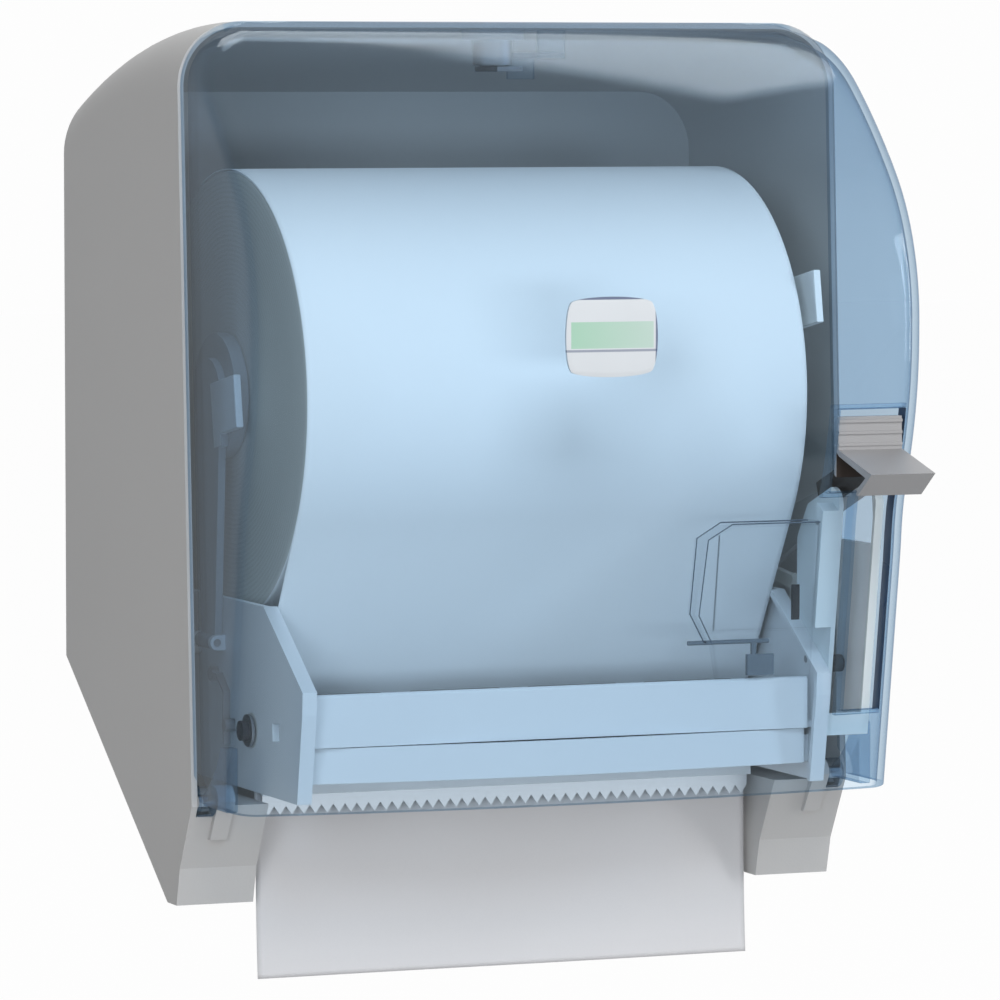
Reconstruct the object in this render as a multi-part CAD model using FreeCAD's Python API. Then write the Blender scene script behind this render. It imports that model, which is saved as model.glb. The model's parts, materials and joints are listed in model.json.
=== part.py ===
"""Lever paper towel dispenser, wall mounted, for a 212 mm wide towel roll.

Millimetres, +Z up.  The wall is the plane Y = 0 and the dispenser stands out from it towards -Y.
The origin is the centre of the four wall screws.  Side outlines are written as (t, z), where t is
the distance from the wall, so that Y = -t.
"""
import FreeCAD
import Part
import math
import os

V = FreeCAD.Vector

# ---- housing and cover --------------------------------------------------------------------------
SIDE_ROOM = 35.0              # from an end of the roll to the outside of the housing
TOP_Z = 156.5                 # top of the housing and cover
BOTTOM_Z = -191.0             # underside of the two legs
BACK_TOP_Z = 131.0            # top edge where the housing meets the wall
BACK_BOTTOM_Z = -104.0        # bottom edge where the housing meets the wall
HOUSING_WALL = 2.5
COVER_WALL = 3.0
BACK_WALL = 3.0
JOIN_T = 150.0                # depth of the join between housing and cover at Z = 0
JOIN_SLOPE = 0.05             # how far the join leans forward per mm going down
JOIN_GAP = 0.5
TOP_CORNER_R = 26.0
LEG_FOOT_T = 128.0            # depth where the sloping underside ends in the foot of a leg
LEG_FRONT_T = 139.0           # depth of the front of a leg at its foot
LEG_KNEE_T = 143.0            # depth of the front of a leg at its knee
LEG_KNEE_Z = -176.0
THROAT_BACK_T = 98.0          # rear edge of the paper throat
COVER_INSET = 1.0             # how far the cover's side stands in from the housing's
COVER_BOTTOM_Z = -149.0
COVER_EDGE = 6.2              # bevel between the front and the sides of the cover
COVER_CROWN = 11.0            # how much the middle of the cover stands in front of its sides
COVER_SIDE_T = 234.0          # deepest point of the cover at its sides
COVER_BULGE_Z = 36.0          # height of that deepest point
COVER_SHOULDER_T = 212.0      # point where the top curve meets the front curve
COVER_SHOULDER_Z = 99.0
COVER_WAIST_T = 218.3         # point where the bulge ends in the straight lower front
COVER_WAIST_Z = -52.0
COVER_FOOT_T = 203.5          # depth of the lower front edge

# ---- wall fixing --------------------------------------------------------------------------------
SCREW_SPAN_X = 190.0
SCREW_SPAN_Z = 160.0
WALL_SCREW_HOLE_R = 2.75
WALL_BOSS_R = 8.0
WALL_BOSS_H = 3.0

# ---- cover hinge and lock -----------------------------------------------------------------------
HINGE_T = 156.0
HINGE_Z = -148.0
HINGE_PIN_R = 2.5
HINGE_FIT = 0.08
KNUCKLE_R = 6.0
KNUCKLE_GAP = 0.4
HINGE_CLEAR_R = 10.0          # the cover's side is cut back this far round the hinge
CHEEK_INSET = 16.5            # from the housing's side in to the inner face of its hinge cheek
CHEEK_W = 7.0
LOCK_T = 122.0                # depth of the lock in the top of the housing
LOCK_R = 8.0
LOCK_FIT = 0.08
LOCK_FLANGE_R = 11.0
LOCK_FLANGE_H = 1.6
LOCK_DEPTH = 17.0
CAM_LENGTH = 24.0
CAM_THICKNESS = 2.0
CAM_HALF = 5.5                # half the cam's width
PLUG_SQUARE = 4.0
STRIKE_X = 9.5                # the strike's tongue passes beside the lock
STRIKE_WIDTH = 11.5
STRIKE_T = 2.5                # thickness of the tongue
STRIKE_Z = 144.5              # top of the tongue, low enough to swing out under the lock's pad
STRIKE_PLAY = 1.0
STRIKE_ROOT = 5.5             # from the join to the front of the strike's upright

# ---- towel roll ---------------------------------------------------------------------------------
ROLL_T = 104.0
ROLL_Z = 8.0
ROLL_R = 89.5
ROLL_WIDTH = 212.0
ROLL_GAP = 3.0                # between an end of the roll and the side plate
CORE_R = 22.0
CORE_WALL = 1.6
PAPER = 0.4                   # thickness of the towel, drawn a little thick
HUB_IN = 10.0                 # how far each hub reaches into the core
HUB_TAPER = 3.6
HUB_FIT = 0.4

# ---- feed mechanism -----------------------------------------------------------------------------
FEED_T = 146.0
FEED_Z = -122.0
FEED_R = 13.0
FEED_SHAFT_R = 4.0
GRIP_COUNT = 4
GRIP_LENGTH = 38.0
GRIP_MARGIN = 11.0            # from an end of the roll in to the outermost grip
PRESS_R = 8.0
PRESS_SHAFT_R = 2.5
PRESS_COUNT = 4
PRESS_LENGTH = 32.0
PRESS_SLIDE = 3.0             # how far the pressure roller can draw back
NIP_GAP = 0.15
BEARING_FIT = 0.08
BUSH_R = 7.0
BUSH_FLANGE_R = 9.5
MODULE = 1.5
PINION_TEETH = 16
SECTOR_TEETH = 81             # teeth that a whole wheel of the sector would have
BACKLASH = 0.16
MESH_ANGLE = 125.0            # direction from the feed roller up to the lever pivot, in degrees

# ---- chassis ------------------------------------------------------------------------------------
PLATE_T = 3.0
PLATE_TOP_Z = -72.0
PLATE_APEX_T = 204.5
PLATE_APEX_Z = -102.0
PLATE_FOOT_T = 198.0
PLATE_FOOT_Z = -146.0
PLATE_WINDOW = ((170.0, -117.0), (177.5, -116.5), (178.0, -123.5), (170.5, -124.0))
BAR_FRONT_T = 196.0           # front of the cross member
BAR_TOP_Z = -104.0
BAR_SEAM_Z = -124.7
BAR_BOTTOM_Z = -139.0
BAR_WALL = 2.5
BAR_CROWN = 7.0
TEAR_T = 138.0                # front face of the serrated blade
TEAR_BOTTOM_Z = -157.0
TEAR_THICKNESS = 0.8
TOOTH_PITCH = 5.0
TOOTH_DEPTH = 3.5
GUIDE_RIBS = 6
GUIDE_RIB = 1.8               # thickness of a rib behind the rear guide
GUIDE_RIB_MARGIN = 17.6       # from an end of the roll in to the outermost rib

# ---- lever --------------------------------------------------------------------------------------
PADDLE_SHIFT = 5.0            # the paddle's middle is this far inwards of the arm's
PADDLE_WIDTH = 27.6
PADDLE_WALL = 2.0
NECK_OUT = 9.0                # from the side plate out to the middle of the arm
NECK_WIDTH = 9.0
ARM_HEIGHT = 13.0
HUB_BOSS = 1.5                # how far the hub stands out past the arm
LEVER_HUB_R = 12.0
LEVER_PIN_R = 4.0
LEVER_TRAVEL = 40.0           # degrees
PADDLE_ROOT_T = 231.5
PADDLE_TOP_Z = 1.5
PADDLE_TIP_T = 262.0
PADDLE_TIP_Z = -19.5
SLOT_CLEARANCE = 1.3          # gap each side of the paddle in the window
SLOT_TOP_Z = 4.5
WINDOW_BOTTOM_Z = -29.0
SLOT_BOTTOM_Z = -117.0
SLOT_WIDTH = 14.0
RIM_WALL = 1.8
RIM_DEPTH = 3.6

# ---- roll arms ----------------------------------------------------------------------------------
ARM_WALL = 3.0
ARM_PIVOT_Z = -90.0
ROLL_ARM_R = 15.0             # half the width of a roll arm at its head
ARM_FOOT_R = 8.0              # half its width at its foot
ARM_PIN_R = 1.6
ARM_SCREW_R = 1.8
LUG_T = 3.0
TAB_LENGTH = 28.0
TAB_HEIGHT = 21.0
TAB_TILT = 10.0
TAB_HOOK = 9.0                 # width of the hook under the left tab
TAB_HOOK_DROP = 5.0
LEFT_TAB_T = 123.0
LEFT_TAB_Z = 5.0
RIGHT_TAB_T = 174.0
RIGHT_TAB_Z = 45.0

# ---- badge --------------------------------------------------------------------------------------
BADGE_WIDTH = 35.0
BADGE_HEIGHT = 28.0
BADGE_Z = 35.0
BADGE_THICKNESS = 1.4

# ---- chassis screws, return spring and lever case -----------------------------------------------
CHASSIS_SCREW_T = (40.0, 84.0)
CHASSIS_SCREW_Z = -92.0
CHASSIS_BOSS_R = 5.0
CHASSIS_SCREW_R = 1.6
EAR_R = 17.0                  # raised ear of the right-hand plate round the lever's pivot
SPRING_WIRE = 0.5             # radius of the return spring's wire
SPRING_TURNS = 3
SPRING_PITCH = 0.9            # the turns lie against each other
SPRING_R = 5.2                # middle radius of its coil
SPRING_POST_R = 2.6
SPRING_POST_OFF = 15.0        # from the lever's pin back to the post of the fixed leg
CASE_WALL = 2.0
CASE_BACK_T = 172.0
CASE_BOTTOM_Z = -128.0
CASE_TOP_Z = -28.0
CASE_WIDTH = 19.5
CASE_LAP = 7.0                # how far the case's front reaches inwards past the side plate
CASE_SETBACK = 9.0            # from the cover's outer face to the case's front
CASE_SCREW_R = 1.6
CASE_SCREWS = ((187.0, -98.0), (185.0, -119.0))

# ---- clear guard in front of the towel's right-hand edge ----------------------------------------
GUARD_BACK_T = 197.0          # rear edge of the guard's walls, clear of the towel
GUARD_WALL = 1.6
GUARD_SETBACK = 1.5           # from the front of the lever's case back to the guard's front
GUARD_TOP_Z = -41.0
GUARD_FOOT_Z = -103.7
GUARD_OUTLINE = ((39.0, -42.4), (49.0, -47.4), (52.0, -77.0), (45.5, -89.0), (43.0, -89.2),
                 (40.5, -103.7))   # from the case inwards, and height
GUARD_RIB = 0.8
GUARD_RIB_Z = -84.0
GUARD_RIB_IN = 42.5           # from the case in to the upright rib
LATCH_Z = -89.0
LATCH_R = 0.9
LATCH_IN = 17.0               # from the case in to the end of the latch's pin
SLIDE_WIDTH = 11.5
SLIDE_HEIGHT = 8.4
GUARD_STOP_R = 1.7
GUARD_STOP_LENGTH = 14.0

# ---- hanging towel -------------------------------------------------------------------------------
TAIL_BOTTOM_Z = -222.5
TAIL_LAYER = 0.4
SHEET_GAP = 0.3

# ---- sizes that follow from those above ---------------------------------------------------------
ROLL_HALF = ROLL_WIDTH / 2.0
HALF = ROLL_HALF + SIDE_ROOM  # half the overall width
COVER_HALF_WIDTH = HALF - COVER_INSET
CHEEK_X = HALF - CHEEK_INSET
PLATE_X = ROLL_HALF + ROLL_GAP
LEG_INNER_X = PLATE_X         # the paper throat is as wide as the space between the side plates
NECK_X = PLATE_X + PLATE_T + NECK_OUT
LEVER_X = NECK_X - PADDLE_SHIFT
GRIP_SPAN = ROLL_WIDTH - 2.0 * GRIP_MARGIN
GUIDE_RIB_SPAN = ROLL_WIDTH - 2.0 * GUIDE_RIB_MARGIN
PIVOT_DISTANCE = MODULE * (PINION_TEETH + SECTOR_TEETH) / 2.0
PIVOT_T = FEED_T + PIVOT_DISTANCE * math.cos(math.radians(MESH_ANGLE))
PIVOT_Z = FEED_Z + PIVOT_DISTANCE * math.sin(math.radians(MESH_ANGLE))
PLATE_OUT = PLATE_X + PLATE_T
ARM_X = PLATE_OUT + 0.3       # inner face of each roll arm, just outside the side plate
PRESS_T = FEED_T - FEED_R - PAPER - 2.0 * NIP_GAP - PRESS_R
SPRING_LENGTH = SPRING_TURNS * SPRING_PITCH
CASE_X0 = PLATE_OUT
CASE_X1 = PLATE_OUT + CASE_WIDTH
CASE_LEFT_X = PLATE_OUT - CASE_LAP
FEED_TRAVEL = math.radians(LEVER_TRAVEL) * SECTOR_TEETH / PINION_TEETH * FEED_R


# ---- drawing helpers ----------------------------------------------------------------------------
def tz(t, z, x=0.0):
    """The point at depth t, height z and side position x."""
    return V(x, -t, z)


def closed_wire(start, steps, place):
    """A closed wire; each step is a point for a line, or (middle, end) for an arc."""
    edges = []
    here = start
    for step in steps:
        if isinstance(step[0], tuple):
            middle, end = step
            edges.append(Part.Arc(place(*here), place(*middle), place(*end)).toShape())
        else:
            end = step
            if math.dist(here, end) > 1e-6:
                edges.append(Part.LineSegment(place(*here), place(*end)).toShape())
        here = end
    if math.dist(here, start) > 1e-6:
        edges.append(Part.LineSegment(place(*here), place(*start)).toShape())
    return Part.Wire(edges)


def side_prism(start, steps, x0, x1):
    """A (t, z) outline extruded across the width from x0 to x1."""
    wire = closed_wire(start, steps, lambda t, z: tz(t, z, x0))
    return Part.Face(wire).extrude(V(x1 - x0, 0, 0))


def front_prism(start, steps, t0, t1):
    """An (x, z) outline extruded through the depth from t0 to t1."""
    wire = closed_wire(start, steps, lambda x, z: tz(t0, z, x))
    return Part.Face(wire).extrude(V(0, t0 - t1, 0))


def plan_prism(start, steps, z0, z1):
    """An (x, t) outline extruded upwards from z0 to z1."""
    wire = closed_wire(start, steps, lambda x, t: tz(t, z0, x))
    return Part.Face(wire).extrude(V(0, 0, z1 - z0))


def block(x0, x1, t0, t1, z0, z1):
    """A box between two side positions, two depths and two heights."""
    return Part.makeBox(x1 - x0, t1 - t0, z1 - z0, V(x0, -t1, z0))


def rod(radius, t, z, x0, x1):
    """A round bar across the width."""
    return Part.makeCylinder(radius, x1 - x0, tz(t, z, x0), V(1, 0, 0))


def peg(radius, x, z, t0, t1):
    """A round bar that runs from depth t0 to depth t1."""
    return Part.makeCylinder(radius, t1 - t0, tz(t0, z, x), V(0, -1, 0))


def post(radius, x, t, z0, z1):
    """A round upright bar."""
    return Part.makeCylinder(radius, z1 - z0, tz(t, z0, x), V(0, 0, 1))


def ring(outer, inner, t, z, x0, x1):
    """A tube across the width."""
    return rod(outer, t, z, x0, x1).cut(rod(inner, t, z, x0 - 1, x1 + 1))


def fuse(shapes):
    """All the shapes joined into one solid."""
    return shapes[0].multiFuse(shapes[1:]).removeSplitter()


def mirrored(shape):
    """The shape on the other side of the middle plane."""
    return shape.mirror(V(0, 0, 0), V(1, 0, 0))


def turned(point, degrees, centre):
    """A (t, z) point turned about a (t, z) centre, anticlockwise from forward to up."""
    angle = math.radians(degrees)
    dt, dz = point[0] - centre[0], point[1] - centre[1]
    return (centre[0] + dt * math.cos(angle) - dz * math.sin(angle),
            centre[1] + dt * math.sin(angle) + dz * math.cos(angle))


def polar(centre, radius, degrees):
    """The (t, z) point at a radius and direction from a centre."""
    return turned((centre[0] + radius, centre[1]), degrees, centre)


def save(name, shape):
    """Write one sub-part, checked, as a STEP file."""
    if not shape.isValid() or not shape.Solids:
        raise ValueError(name + " is not a valid solid")
    shape.exportStep("parts/" + name + ".step")


# ---- housing ------------------------------------------------------------------------------------
def join_t(z):
    """Depth of the join between housing and cover at a height."""
    return JOIN_T - JOIN_SLOPE * z


def top_z(t, inset=0.0):
    """Height of the housing's top at a depth, along its gentle arch."""
    rise = TOP_Z - BACK_TOP_Z
    return BACK_TOP_Z + rise * (1.0 - (1.0 - t / join_t(TOP_Z)) ** 2) - inset


def edges_along_top(shape, half, lowest):
    """The edges where the top meets the two side faces."""
    found = []
    for edge in shape.Edges:
        box = edge.BoundBox
        on_side = box.XLength < 0.01 and abs(abs(box.XMin) - half) < 0.01
        if on_side and box.ZMin > lowest and box.YLength > 20.0:
            found.append(edge)
    return found


def housing_block(inset, front):
    """The housing's outer form, or the hollow inside it when inset is its wall."""
    half = HALF - inset
    back = BACK_WALL if inset else 0.0
    slope = (LEG_FOOT_T, BOTTOM_Z)
    lift = inset * 1.2
    middle_t = join_t(TOP_Z) / 2.0
    outline = [((middle_t, top_z(middle_t, inset)), (front, top_z(front, inset))),
               (front, COVER_BOTTOM_Z - 1.0),
               (join_t(COVER_BOTTOM_Z) - inset, COVER_BOTTOM_Z - 1.0),
               (LEG_KNEE_T - inset, LEG_KNEE_Z),
               (LEG_FRONT_T - inset, BOTTOM_Z + inset),
               (slope[0] - inset * 0.5, slope[1] + inset),
               (back, BACK_BOTTOM_Z + lift)]
    body = side_prism((back, BACK_TOP_Z - inset), outline, -half, half)
    return body.makeFillet(TOP_CORNER_R - inset, edges_along_top(body, half, BACK_TOP_Z - TOP_CORNER_R))


def in_front_of_join(gap):
    """Everything in front of the join, moved forward by a gap."""
    low, high = BOTTOM_Z - 60.0, TOP_Z + 60.0
    return side_prism((join_t(low) + gap, low),
                      [(join_t(high) + gap, high), (400.0, high), (400.0, low)],
                      -HALF - 20.0, HALF + 20.0)


def below_cover():
    """The space of the legs, which the join does not cut."""
    return block(-HALF - 30, HALF + 30, 0.0, 420.0, BOTTOM_Z - 80.0, COVER_BOTTOM_Z - 1.0)


def wall_screw_points():
    """Centres of the four wall screws, as (x, z)."""
    return [(sx * SCREW_SPAN_X / 2.0, sz * SCREW_SPAN_Z / 2.0) for sx in (-1, 1) for sz in (-1, 1)]


def knuckle_span():
    """Inner and outer end of the cover's hinge knuckle."""
    return CHEEK_X + CHEEK_W + KNUCKLE_GAP, HALF - HOUSING_WALL - KNUCKLE_GAP


def hinge_cheek(side):
    """The pierced cheek on top of a leg that carries the cover's hinge pin."""
    x0, x1 = CHEEK_X, CHEEK_X + CHEEK_W
    cheek = side_prism((HINGE_T - KNUCKLE_R, HINGE_Z - 16.0),
                       [(HINGE_T - KNUCKLE_R, HINGE_Z),
                        ((HINGE_T, HINGE_Z + KNUCKLE_R), (HINGE_T + KNUCKLE_R, HINGE_Z)),
                        (HINGE_T - 4.0, HINGE_Z - 16.0)], x0, x1)
    return cheek if side > 0 else mirrored(cheek)


def make_rear_housing():
    """The grey moulded back: a shell open to the front and between its legs."""
    front = join_t(TOP_Z)
    deep = join_t(BOTTOM_Z) + 30.0
    outer = housing_block(0.0, deep).cut(in_front_of_join(0.0).cut(below_cover()))
    inner = housing_block(HOUSING_WALL, deep)
    shell = outer.cut(inner)
    throat = block(-LEG_INNER_X, LEG_INNER_X, THROAT_BACK_T, 400, BOTTOM_Z - 10, COVER_BOTTOM_Z + 20)
    shell = shell.cut(throat)
    pieces = [shell]
    leg_wall = block(LEG_INNER_X, LEG_INNER_X + HOUSING_WALL, THROAT_BACK_T, deep,
                     BOTTOM_Z - 10, COVER_BOTTOM_Z - 1.0)
    leg_top = block(LEG_INNER_X, HALF, THROAT_BACK_T, deep,
                    COVER_BOTTOM_Z - 1.0 - HOUSING_WALL, COVER_BOTTOM_Z - 1.0)
    for leg_part in (leg_wall, leg_top):
        inside = leg_part.common(housing_block(0.0, deep).cut(in_front_of_join(0.0).cut(below_cover())))
        pieces += [inside, mirrored(inside)]
    for x, z in wall_screw_points():
        pieces.append(peg(WALL_BOSS_R, x, z, 0.5, BACK_WALL + WALL_BOSS_H))
    pieces += [hinge_cheek(1), hinge_cheek(-1)]
    lock_pad = post(LOCK_FLANGE_R + 1.5, 0, LOCK_T, TOP_Z - 7.0, top_z(LOCK_T) - 0.3)
    pieces.append(lock_pad)
    for side in (-1, 1):
        for t in CHASSIS_SCREW_T:
            pieces.append(chassis_boss(side, t))
    body = fuse(pieces)
    for x, z in wall_screw_points():
        body = body.cut(peg(WALL_SCREW_HOLE_R, x, z, -1.0, BACK_WALL + WALL_BOSS_H + 1.0))
    pocket = rod(KNUCKLE_R + KNUCKLE_GAP, HINGE_T, HINGE_Z, CHEEK_X + CHEEK_W, HALF - HOUSING_WALL)
    body = body.cut(pocket).cut(mirrored(pocket))
    for side_pin in hinge_pin_pair():
        body = body.cut(side_pin)
    body = body.cut(post(LOCK_R, 0, LOCK_T, TOP_Z - 30.0, TOP_Z + 5.0))
    body = body.cut(post(LOCK_FLANGE_R + 0.3, 0, LOCK_T, lock_face_z() - LOCK_FLANGE_H, TOP_Z + 5.0))
    for side in (-1, 1):
        for t in CHASSIS_SCREW_T:
            body = body.cut(chassis_screw_core(side, t))
    return body


# ---- chassis bosses that carry the side plates ------------------------------------------------


def chassis_boss(side, t):
    """A boss on the housing's side wall that a side plate is screwed to."""
    shape = rod(CHASSIS_BOSS_R, t, CHASSIS_SCREW_Z, PLATE_OUT, HALF - HOUSING_WALL + 0.5)
    return shape if side > 0 else mirrored(shape)


def chassis_screw_core(side, t):
    """The pilot hole in such a boss."""
    shape = rod(CHASSIS_SCREW_R, t, CHASSIS_SCREW_Z, PLATE_OUT - 1.0, PLATE_OUT + 12.0)
    return shape if side > 0 else mirrored(shape)


def make_chassis_screws():
    """The pan-head screws that hold the side plates to the housing."""
    screws = []
    for side in (-1, 1):
        for t in CHASSIS_SCREW_T:
            head = rod(3.0, t, CHASSIS_SCREW_Z, PLATE_X - 2.0, PLATE_X)
            shank = rod(CHASSIS_SCREW_R, t, CHASSIS_SCREW_Z, PLATE_X, PLATE_OUT + 10.0)
            screw = head.fuse(shank)
            screws.append(screw if side > 0 else mirrored(screw))
    return Part.makeCompound(screws)


# ---- cover --------------------------------------------------------------------------------------
def cover_form(inset, bottom):
    """The cover's outer form, or the hollow inside it when inset is its wall.

    The side outline is turned about a distant upright axis, which crowns the front, and the
    front outline with its two rounded upper corners is cut out of that.
    """
    crown_r = (COVER_HALF_WIDTH ** 2 + COVER_CROWN ** 2) / (2.0 * COVER_CROWN)
    axis_t = COVER_SIDE_T + COVER_CROWN - crown_r
    shift = COVER_CROWN - inset
    drop = inset
    back_t = JOIN_T - 30.0
    shoulder = (COVER_SHOULDER_T + shift, COVER_SHOULDER_Z - drop * 0.5)
    bulge = (COVER_SIDE_T + shift, COVER_BULGE_Z)
    waist = (COVER_WAIST_T + shift, COVER_WAIST_Z)
    dip = (waist[0] + 5.2, waist[1] + 27.0)
    outline = [(join_t(TOP_Z) + shift + 2.0, TOP_Z - drop),
               ((shoulder[0] - 31.0, shoulder[1] + 31.0), shoulder),
               ((bulge[0] - 5.4, (bulge[1] + shoulder[1]) / 2.0 + 2.5), bulge),
               ((bulge[0] - 2.4, bulge[1] - 31.0), dip),
               ((waist[0] + 1.7, waist[1] + 14.0), waist),
               (COVER_FOOT_T + shift, COVER_BOTTOM_Z),
               (COVER_FOOT_T + shift, bottom),
               (back_t, bottom)]
    wire = closed_wire((back_t, TOP_Z - drop), outline, tz)
    sweep = 2.2 * math.degrees(math.asin(HALF / (back_t - axis_t)))
    face = Part.Face(wire)
    face.rotate(tz(axis_t, 0.0), V(0, 0, 1), -sweep / 2.0)
    body = face.revolve(tz(axis_t, 0.0), V(0, 0, 1), sweep)
    half = COVER_HALF_WIDTH - inset
    radius = TOP_CORNER_R - inset
    high = TOP_Z - inset
    bend = radius * (1.0 - math.sqrt(0.5))
    front = front_prism((-half, bottom - 5.0),
                        [(-half, high - radius),
                         ((-half + bend, high - bend), (-half + radius, high)),
                         (half - radius, high),
                         ((half - bend, high - bend), (half, high - radius)),
                         (half, bottom - 5.0)], back_t - 60.0, 320.0)
    return body.common(front)


def front_rim_edges(shape, half):
    """The edges where the cover's front meets its sides, without its top corners."""
    found = []
    for edge in shape.Edges:
        box = edge.BoundBox
        on_side = box.XLength < 0.6 and abs(abs(box.Center.x) - half) < 0.4
        if on_side and box.YMax < -(JOIN_T + 20.0) and box.ZLength > 6.0:
            found.append(edge)
    return found


def slot_form(grow, deep):
    """The lever's window with the narrow slot below it, through the cover's front."""
    half = PADDLE_WIDTH / 2.0 + SLOT_CLEARANCE + grow
    left, right = LEVER_X - half, LEVER_X + half
    slot_left = NECK_X - SLOT_WIDTH / 2.0 - grow
    slot_right = NECK_X + SLOT_WIDTH / 2.0 + grow
    low = WINDOW_BOTTOM_Z - grow
    end = SLOT_BOTTOM_Z - grow
    return front_prism((left, SLOT_TOP_Z + grow),
                       [(right, SLOT_TOP_Z + grow), (right, low), (slot_right, low - 2.0),
                        (slot_right, end), (slot_left, end), (slot_left, low - 6.0), (left, low)],
                       deep, 320.0)


def cover_knuckle():
    """The cover's half of the right-hand hinge, with the web that joins it to the side wall."""
    x0, x1 = knuckle_span()
    eye = rod(KNUCKLE_R, HINGE_T, HINGE_Z, x0, x1)
    low = HINGE_Z - 1.0
    web = side_prism((HINGE_T, HINGE_Z + KNUCKLE_R),
                     [((HINGE_T + 14.0, HINGE_Z + 9.0), (HINGE_T + 26.0, HINGE_Z + 24.0)),
                      (HINGE_T + 32.0, HINGE_Z + 24.0), (HINGE_T + 32.0, low), (HINGE_T, low)],
                     x0, COVER_HALF_WIDTH - COVER_WALL + 0.5)
    return eye.fuse(web)


def make_front_cover():
    """The clear cover: a crowned shell with the lever's slot, its rim and two hinge knuckles."""
    bottom = COVER_BOTTOM_Z
    keep = in_front_of_join(JOIN_GAP)
    outer = cover_form(0.0, bottom)
    outer = outer.makeChamfer(COVER_EDGE, front_rim_edges(outer, COVER_HALF_WIDTH))
    inner = cover_form(COVER_WALL, bottom - 10.0)
    inner = inner.makeChamfer(COVER_EDGE - COVER_WALL * (2.0 - math.sqrt(2.0)),
                              front_rim_edges(inner, COVER_HALF_WIDTH - COVER_WALL))
    shell = outer.cut(inner).common(keep)
    hinge_room = rod(HINGE_CLEAR_R, HINGE_T, HINGE_Z, CHEEK_X, HALF + 5.0)
    shell = shell.cut(hinge_room).cut(mirrored(hinge_room))
    rim_zone = inner.cut(cover_form(COVER_WALL + RIM_DEPTH, bottom - 10.0))
    rim = slot_form(RIM_WALL, JOIN_T + 20.0).cut(slot_form(0.0, JOIN_T)).common(rim_zone)
    right = cover_knuckle()
    body = shell.multiFuse([rim, right, mirrored(right)])
    body = body.cut(slot_form(0.0, JOIN_T + 20.0))
    body = body.cut(rod(HINGE_PIN_R + HINGE_FIT, HINGE_T, HINGE_Z, -HALF, HALF))
    badge_seat = badge_form(0.4).common(cover_form(0.0, bottom).cut(cover_form(0.8, bottom)))
    return body.cut(badge_seat)


def make_cover_strike():
    """The hooked tongue under the cover's top; the lock's cam turns in front of its end."""
    root = TOP_Z - COVER_WALL
    front = join_t(TOP_Z) + STRIKE_ROOT
    back = LOCK_T - CAM_HALF - STRIKE_PLAY - STRIKE_T
    under = STRIKE_Z - STRIKE_T
    end = cam_z() - 5.0
    return side_prism((front, root),
                      [(front, under), (back + STRIKE_T, under), (back + STRIKE_T, end), (back, end),
                       (back, STRIKE_Z), (front - STRIKE_T, STRIKE_Z), (front - STRIKE_T, root)],
                      STRIKE_X, STRIKE_X + STRIKE_WIDTH)


def badge_form(grow):
    """The badge's outline with bowed sides, as a bar through the cover's front."""
    w, h = BADGE_WIDTH / 2.0 + grow, BADGE_HEIGHT / 2.0 + grow
    bow = 1.6
    return front_prism((-w, BADGE_Z - h),
                       [((0.0, BADGE_Z - h - bow), (w, BADGE_Z - h)),
                        ((w + bow, BADGE_Z), (w, BADGE_Z + h)),
                        ((0.0, BADGE_Z + h + bow * 0.5), (-w, BADGE_Z + h)),
                        ((-w - bow, BADGE_Z), (-w, BADGE_Z - h))], 200.0, 300.0)


def make_badge():
    """A plain badge let into the cover's front and following its curve."""
    seat = cover_form(0.8, COVER_BOTTOM_Z)
    face = cover_form(0.8 - BADGE_THICKNESS, COVER_BOTTOM_Z)
    return badge_form(0.0).common(face.cut(seat))


def hinge_pin_pair():
    """The two hinge pins, pressed into the housing's cheeks."""
    pin = rod(HINGE_PIN_R, HINGE_T, HINGE_Z, CHEEK_X, HALF - HOUSING_WALL)
    return pin, mirrored(pin)


# ---- lock ---------------------------------------------------------------------------------------
def lock_face_z():
    """Height of the lock's visible face, just under the housing's highest point there."""
    return top_z(LOCK_T) - 0.2


def cam_z():
    """Height of the cam's upper face."""
    return lock_face_z() - LOCK_DEPTH


def make_lock_barrel():
    """The fixed sleeve of the lock with its flange."""
    top = lock_face_z()
    body = post(LOCK_FLANGE_R, 0, LOCK_T, top - LOCK_FLANGE_H, top)
    body = body.fuse(post(LOCK_R, 0, LOCK_T, top - LOCK_DEPTH + 0.5, top - LOCK_FLANGE_H))
    return body.cut(post(LOCK_R - 2.5, 0, LOCK_T, top - 40.0, top + 5.0))


def make_lock_plug():
    """The turning plug with its key slot and the square that drives the cam."""
    top = lock_face_z()
    plug = post(LOCK_R - 2.5 - LOCK_FIT, 0, LOCK_T, cam_z(), top - 0.2)
    key_slot = block(-0.8, 0.8, LOCK_T - 3.2, LOCK_T + 3.2, top - 8.0, top + 1.0)
    side = PLUG_SQUARE / 2.0
    square = block(-side, side, LOCK_T - side, LOCK_T + side, cam_z() - CAM_THICKNESS, cam_z())
    return plug.cut(key_slot).fuse(square)


def make_lock_cam():
    """The cam, pointing forward when unlocked; a quarter turn brings it in front of the strike."""
    half, side = CAM_HALF, PLUG_SQUARE / 2.0
    cam = block(-half, half, LOCK_T - half, LOCK_T - half + CAM_LENGTH, cam_z() - CAM_THICKNESS, cam_z())
    return cam.cut(block(-side, side, LOCK_T - side, LOCK_T + side, cam_z() - 5.0, cam_z() + 1.0))


# ---- chassis ------------------------------------------------------------------------------------
def plate_outline():
    """Outline of a side plate: low at the back, with the pointed front that holds the bar."""
    return ((14.0, -98.0),
            [(14.0, PLATE_TOP_Z - 6.0), (24.0, PLATE_TOP_Z), (160.0, PLATE_TOP_Z),
             (PLATE_APEX_T, PLATE_APEX_Z), (PLATE_APEX_T - 0.5, PLATE_APEX_Z - 9.0),
             (PLATE_FOOT_T, PLATE_FOOT_Z), (82.0, PLATE_FOOT_Z)])


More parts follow.
